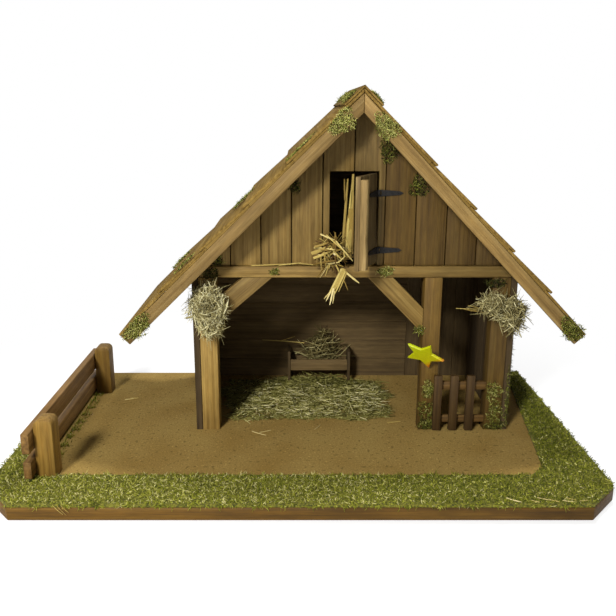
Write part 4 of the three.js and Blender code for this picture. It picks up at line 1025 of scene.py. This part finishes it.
# Both ends of each stalk stop short of the leaf's inner face at its inner limit, 46 degrees from the wall.
# There the face passes this x and y, and lies 0.967 further left for each 1 that it comes forwards.
LEAF_FACE_X, LEAF_FACE_Y, LEAF_FACE_SLOPE = 0.090, -0.0024, 0.967
BUNDLE_CLEARANCE, LONGEST_STALK = 0.012, 0.036
for reach in (0, LONGEST_STALK):
    bundle_ends = bundle_places + reach * bundle_aims
    leaf_limit = LEAF_FACE_X - LEAF_FACE_SLOPE * (LEAF_FACE_Y - bundle_ends[:, 1]) - BUNDLE_CLEARANCE
    bundle_places[:, 0] -= np.maximum(0, bundle_ends[:, 0] - leaf_limit)
bundle = strew(
    "hatch_straw_bundle", husk_shapes, dice.choice(4, bundle_count, p=[0.25, 0.25, 0.25, 0.25]),
    bundle_places, bundle_aims, dice.uniform(0.6, 1.05, bundle_count), tones_about(0.35, 0.32, bundle_count))
finish_piece(bundle, husk_straw, "stable", "straw", "hatch_straw")


def placed_blades(name, blades, bow=0.03):
    """Blades that are placed one by one: foot, tip, width, thickness and tone of each."""
    runs = [Vector(tip) - Vector(foot) for foot, tip, width, thickness, tone in blades]
    turns = aim(np.array(runs), np.full(len(blades), math.pi / 2))
    parts = []
    for (foot, tip, width, thickness, tone), run, turn in zip(blades, runs, turns):
        bends = [(0, bow * run.length), (0, bow * run.length), (0, 0)]
        corners, triangles = bar_shape(run.length, width, thickness, bends, tip=0.5, sides=6)
        mesh = bpy.data.meshes.new(name)
        laid = corners @ turn.T + np.array(foot)
        mesh.from_pydata(laid.tolist(), [], triangles.tolist())
        layer = mesh.attributes.new("tone", "FLOAT", "POINT")
        layer.data.foreach_set("value", np.full(len(corners), tone))
        part = bpy.data.objects.new(name, mesh)
        bpy.context.scene.collection.objects.link(part)
        parts.append(part)
    finish_piece(join_boards(parts, name), husk_straw, "stable", "straw")


placed_blades("hatch_blades", [
    ((0.0592, -0.0042, 0.243), (0.0626, -0.0042, 0.306), 0.0108, 0.0011, 0.38),
    ((0.0612, -0.0052, 0.25), (0.0644, -0.0046, 0.3475), 0.0052, 0.0011, 0.5),
    ((0.0572, -0.0058, 0.248), (0.0622, -0.0052, 0.328), 0.0026, 0.0009, 0.7),
    ((0.0655, -0.006, 0.25), (0.0657, -0.0052, 0.322), 0.0018, 0.0009, 0.2),
    ((0.0528, -0.0045, 0.25), (0.058, -0.0045, 0.342), 0.0034, 0.0009, 0.42),
    ((0.055, -0.004, 0.316), (0.0538, -0.004, 0.342), 0.0018, 0.0008, 0.3),
])
placed_blades("hatch_bundle_stalks", [
    ((0.0245, -0.028, 0.2785), (0.0425, -0.0288, 0.2712), 0.0019, 0.0014, 0.8),
    ((0.0422, -0.0288, 0.2715), (0.0642, -0.0275, 0.2455), 0.002, 0.0015, 0.75),
    ((0.0318, -0.0284, 0.2775), (0.0535, -0.0284, 0.258), 0.0018, 0.0014, 0.65),
    ((0.0338, -0.0288, 0.2425), (0.0472, -0.0288, 0.2442), 0.0021, 0.0015, 0.8),
    ((0.0465, -0.0288, 0.2442), (0.0545, -0.028, 0.2515), 0.002, 0.0015, 0.75),
    ((0.054, -0.0282, 0.2508), (0.0528, -0.0276, 0.2592), 0.0018, 0.0014, 0.6),
    ((0.014, -0.0262, 0.2545), (0.0372, -0.0272, 0.2642), 0.0046, 0.0012, 0.5),
    ((0.0165, -0.0268, 0.2488), (0.0385, -0.0276, 0.2585), 0.0034, 0.0012, 0.62),
    ((0.0178, -0.0262, 0.2625), (0.0345, -0.0272, 0.2682), 0.003, 0.0012, 0.4),
    ((0.0372, -0.0285, 0.262), (0.0505, -0.028, 0.2475), 0.0022, 0.0014, 0.65),
    ((0.0425, -0.0275, 0.244), (0.0492, -0.0285, 0.2292), 0.0018, 0.0012, 0.6),
    ((0.0285, -0.0275, 0.2605), (0.0318, -0.028, 0.2375), 0.0016, 0.0011, 0.45),
    ((0.0252, -0.0272, 0.2525), (0.0262, -0.0278, 0.2345), 0.0014, 0.0011, 0.5),
    ((0.0345, -0.0278, 0.2405), (0.0312, -0.0284, 0.2272), 0.0014, 0.0011, 0.55),
    ((0.0555, -0.0272, 0.2715), (0.0612, -0.0278, 0.2565), 0.0018, 0.0012, 0.5),
    ((0.0402, -0.0286, 0.2565), (0.0438, -0.0288, 0.2532), 0.0036, 0.0016, 0.95),
], 0.09)
placed_blades("hatch_wisp", [
    ((0.0535, -0.027, 0.236), (0.0385, -0.0275, 0.205), 0.0062, 0.0008, 0.52),
    ((0.0508, -0.0276, 0.236), (0.0352, -0.0279, 0.2035), 0.0026, 0.0008, 0.72),
    ((0.0555, -0.0276, 0.233), (0.0428, -0.0279, 0.2045), 0.0022, 0.0008, 0.62),
    ((0.0412, -0.0282, 0.212), (0.0368, -0.0284, 0.1905), 0.0022, 0.0008, 0.9),
    ((0.0385, -0.0282, 0.209), (0.0322, -0.0284, 0.1955), 0.0019, 0.0008, 0.85),
    ((0.0368, -0.0282, 0.2065), (0.0298, -0.0284, 0.1985), 0.0014, 0.0008, 0.75),
    ((0.0425, -0.0282, 0.2085), (0.0405, -0.0284, 0.1925), 0.0014, 0.0008, 0.8),
    ((0.0575, -0.0265, 0.232), (0.0475, -0.0272, 0.207), 0.0016, 0.0008, 0.5),
    ((0.0545, -0.026, 0.2325), (0.0725, -0.0275, 0.218), 0.0026, 0.0008, 0.78),
    ((0.052, -0.026, 0.226), (0.059, -0.0272, 0.209), 0.0012, 0.0008, 0.3),
])


# Long single stalks.
# Three lie end to end on the beam's ledge, two stick out of the manger's hay and four out of the right tuft.
# The others lie on the turf and the sand or hang over the front edge.
placed_blades("loose_stalks", [
    ((-0.06, -0.0098, 0.2362), (-0.018, -0.0098, 0.2382), 0.0018, 0.0013, 0.5),
    ((-0.026, -0.0098, 0.2368), (0.0015, -0.0098, 0.2398), 0.0016, 0.0012, 0.62),
    ((-0.002, -0.0098, 0.2392), (0.023, -0.0098, 0.2366), 0.0015, 0.0012, 0.5),
    ((0.008, 0.164, 0.0795), (-0.0555, 0.16, 0.0855), 0.0016, 0.0012, 0.6),
    ((-0.03, 0.163, 0.083), (-0.006, 0.16, 0.091), 0.0009, 0.0007, 0.4),
    ((0.2205, -0.1955, 0.0215), (0.2345, -0.2035, 0.0212), 0.0011, 0.0008, 0.95),
    ((0.2537, -0.1945, 0.0215), (0.267, -0.1995, 0.0212), 0.0008, 0.0006, 0.8),
    ((0.279, -0.2, 0.0212), (0.292, -0.2032, 0.0212), 0.0008, 0.0006, 0.85),
    ((0.266, -0.1985, 0.0215), (0.2755, -0.2032, 0.0212), 0.0008, 0.0006, 0.7),
    ((0.246, -0.1995, 0.0212), (0.2537, -0.2036, 0.0212), 0.0007, 0.0006, 0.75),
    ((0.285, -0.195, 0.0215), (0.294, -0.1992, 0.0212), 0.0007, 0.0006, 0.7),
    ((0.297, -0.201, 0.0212), (0.307, -0.1995, 0.0212), 0.0007, 0.0006, 0.75),
    ((-0.062, -0.018, 0.0172), (-0.043, -0.03, 0.0172), 0.001, 0.0006, 0.85),
    ((-0.052, -0.022, 0.0174), (-0.037, -0.014, 0.0172), 0.001, 0.0006, 0.8),
    ((0.02, -0.012, 0.0172), (0.028, 0.002, 0.0174), 0.001, 0.0006, 0.85),
    ((0.118, 0.01, 0.0172), (0.137, 0.014, 0.0172), 0.0009, 0.0006, 0.6),
    ((-0.2525, 0.0895, 0.0172), (-0.2405, 0.0945, 0.0172), 0.0011, 0.0006, 0.8),
    ((-0.2455, 0.0955, 0.0172), (-0.2345, 0.0965, 0.0172), 0.0009, 0.0006, 0.7),
    ((0.1934, -0.024, 0.1852), (0.226, -0.024, 0.1842), 0.0009, 0.0007, 0.6),
    ((0.2035, -0.023, 0.1838), (0.23, -0.024, 0.1795), 0.0008, 0.0007, 0.4),
    ((0.2085, -0.022, 0.1885), (0.234, -0.024, 0.1825), 0.0008, 0.0007, 0.45),
    ((0.212, -0.024, 0.1815), (0.236, -0.025, 0.1862), 0.0008, 0.0007, 0.35),
    ((-0.262, -0.2062, 0.0188), (-0.2515, -0.2072, 0.0085), 0.0007, 0.0006, 0.55),
    ((-0.2575, -0.2062, 0.0188), (-0.2478, -0.2072, 0.0075), 0.0007, 0.0006, 0.45),
    ((-0.2532, -0.2062, 0.0188), (-0.2452, -0.207, 0.0105), 0.0007, 0.0006, 0.5),
])


# Moss tufts.
# Pads of the same dried moss, glued on to hide joints and to look weathered.
# Each pad is told by its middle, the way its surface faces, the direction of its length,
# its half sizes, its number of blades and its tone.
FRONT = (0, -1, 0)
LEFT_SLOPE, RIGHT_SLOPE = -LEFT_DOWN, RIGHT_DOWN
UPRIGHT, LEVEL = Vector((0, 0, 1)), Vector((1, 0, 0))
pads = [
    ((0.0475, -0.0502, 0.409), FRONT, LEFT_SLOPE, 0.0165, 0.0115, 640, 0.8),
    ((0.0975, -0.0502, 0.404), FRONT, RIGHT_SLOPE, 0.0175, 0.0112, 640, 0.78),
    ((-0.1965, -0.0502, 0.168), FRONT, LEFT_SLOPE, 0.021, 0.0112, 760, 0.66),
    ((0.329, -0.0502, 0.166), FRONT, RIGHT_SLOPE, 0.0185, 0.0112, 640, 0.42),
    ((0.107, -0.0062, 0.376), FRONT, UPRIGHT, 0.016, 0.012, 420, 0.25),
    ((0.144, -0.0062, 0.333), FRONT, UPRIGHT, 0.013, 0.012, 360, 0.22),
    ((-0.006, -0.0062, 0.333), FRONT, UPRIGHT, 0.01, 0.007, 160, 0.2),
    ((-0.102, -0.0062, 0.242), FRONT, UPRIGHT, 0.007, 0.008, 160, 0.4),
    ((0.106, -0.0102, 0.229), FRONT, LEVEL, 0.011, 0.006, 200, 0.6),
    ((-0.032, -0.0102, 0.2285), FRONT, LEVEL, 0.006, 0.005, 80, 0.5),
    ((0.152, -0.0102, 0.153), FRONT, RIGHT_SLOPE, 0.007, 0.006, 110, 0.5),
    ((0.1675, -0.0102, 0.073), FRONT, UPRIGHT, 0.012, 0.0105, 220, 0.62),
    ((0.1655, -0.0102, 0.043), FRONT, UPRIGHT, 0.014, 0.011, 200, 0.45),
    ((0.167, -0.0105, 0.024), FRONT, LEVEL, 0.013, 0.008, 260, 0.4),
    ((0.252, -0.0102, 0.07), FRONT, UPRIGHT, 0.013, 0.0105, 220, 0.6),
    ((0.2545, -0.0102, 0.042), FRONT, UPRIGHT, 0.016, 0.0105, 240, 0.55),
    ((0.256, -0.0105, 0.022), FRONT, LEVEL, 0.013, 0.006, 200, 0.35),
    ((0.2695, -0.0098, 0.06), FRONT, UPRIGHT, 0.044, 0.0022, 240, 0.4),
    ((0.2722, 0.002, 0.12), (1, 0, 0), UPRIGHT, 0.034, 0.006, 240, 0.15),
    ((0.2722, 0.06, 0.02), (1, 0, 0), (0, 1, 0), 0.05, 0.006, 260, 0.2),
    ((-0.112, -0.0105, 0.226), FRONT, LEVEL, 0.012, 0.008, 200, 0.1),
    ((0.245, -0.0105, 0.214), FRONT, LEVEL, 0.014, 0.006, 200, 0.08),
]
moss = dried_plant("dried_moss", [
    (0.0, tint(38, 38, 12)), (0.35, tint(82, 84, 24)),
    (0.65, tint(132, 134, 50)), (1.0, tint(202, 198, 118))])


def glue_pads(name, pads, upright=1.0):
    """Moss pads as one piece: blades stand all ways out of each surface, thinner towards the pad's edge."""
    places, aims, tones = [], [], []
    for middle, facing, along, half_long, half_wide, count, tone in pads:
        facing, along = np.array(facing, float), np.array(along, float)
        across = np.cross(facing, along)
        angle = dice.uniform(0, 2 * math.pi, count)
        reach = dice.uniform(0, 1, count) ** 0.62 * (1 + 0.18 * np.sin(3 * angle + count))
        spot = np.array(middle) + np.outer(reach * np.cos(angle) * half_long, along)
        spot += np.outer(reach * np.sin(angle) * half_wide, across)
        rise = dice.uniform(-0.0004, 0.0022 * upright, count) * np.clip(1.1 - reach, 0.1, 1)
        spot += np.outer(rise, facing)
        places.append(spot)
        lean = dice.normal(0, 0.7, (count, 3))
        lean -= (1 - upright) * np.outer(lean @ facing, facing)
        aims.append(facing * dice.uniform(0.1, 1.0, (count, 1)) * upright + lean)
        tones.append(np.clip(tone + dice.normal(0, 0.25, count), 0, 1))
    places, aims, tones = np.concatenate(places), np.concatenate(aims), np.concatenate(tones)
    count = len(places)
    piece = strew(name, moss_shapes, dice.choice(3, count, p=[0.4, 0.35, 0.25]), places, aims,
                  dice.uniform(0.7, 1.3, count), tones)
    finish_piece(piece, moss, "stable", "turf")


glue_pads("moss_pads", pads)

# On the roof each pad is told by its slope, how far down and back it lies, its half sizes and its blades.
ON_LEFT, ON_RIGHT = (LEFT_DOWN, LEFT_UP), (RIGHT_DOWN, RIGHT_UP)
RIDGE_CAP_REACH, COURSE_TOP, CAP_TOP = 0.03, 0.0075, 0.0085
roof_pads = []
for (slope, up), down, y, half_long, half_wide, count in (
        (ON_LEFT, 0.014, -0.035, 0.009, 0.012, 240), (ON_RIGHT, 0.014, -0.032, 0.009, 0.014, 260),
        (ON_LEFT, 0.012, 0.02, 0.008, 0.02, 260), (ON_RIGHT, 0.013, 0.06, 0.008, 0.025, 300),
        (ON_LEFT, 0.012, 0.12, 0.008, 0.024, 280), (ON_RIGHT, 0.013, 0.15, 0.008, 0.02, 240),
        (ON_LEFT, 0.095, -0.042, 0.024, 0.006, 300), (ON_LEFT, 0.285, -0.042, 0.016, 0.006, 220),
        (ON_LEFT, 0.2, 0.09, 0.018, 0.022, 420), (ON_LEFT, 0.33, 0.13, 0.016, 0.025, 420),
        (ON_RIGHT, 0.13, 0.09, 0.016, 0.024, 420), (ON_RIGHT, 0.26, 0.12, 0.018, 0.02, 400),
        (ON_RIGHT, 0.36, 0.06, 0.014, 0.026, 400)):
    spot = RIDGE_LINE + slope * down + up * (COURSE_TOP if down > RIDGE_CAP_REACH else CAP_TOP)
    roof_pads.append(((spot.x, y, spot.z), up, slope, half_long, half_wide, count, 0.5))
glue_pads("roof_moss_pads", roof_pads, 0.25)


# Star.
# A thin bevelled star on a short peg, painted bright yellow.
# Towards its lower right its colour runs to orange and then to magenta.
star_material, star_tree = new_material("star_paint")
star_place = shader_node(star_tree, "ShaderNodeTexCoord").outputs["Object"]
star_mapping = shader_node(
    star_tree, "ShaderNodeMapping", {"Location": (-0.1562, 0.026, -0.125)})
star_tree.links.new(star_place, star_mapping.inputs["Vector"])
star_slope = shader_node(star_tree, "ShaderNodeVectorMath", {1: (22, 0, -26)}, operation="DOT_PRODUCT")
star_tree.links.new(star_mapping.outputs[0], star_slope.inputs[0])
star_colour = ramp_on(star_tree, spread(star_tree, star_slope.outputs["Value"], 0, 1, -0.6, 0.9), [
    (0.0, tint(186, 196, 8)), (0.66, tint(192, 186, 8)), (0.84, tint(200, 104, 20)), (1.0, tint(160, 20, 84))])
star_brush = noise_on(star_tree, star_place, (300, 300, 300), 3)
star_shader = star_tree.nodes["Principled BSDF"]
star_colour = dim(star_tree, star_colour, spread(star_tree, star_brush, 0.9, 1.06))
star_tree.links.new(star_colour, star_shader.inputs["Base Color"])
star_shader.inputs["Roughness"].default_value = 0.4
relief(star_tree, star_brush, 0.0002)
paint_node("star", star_material)
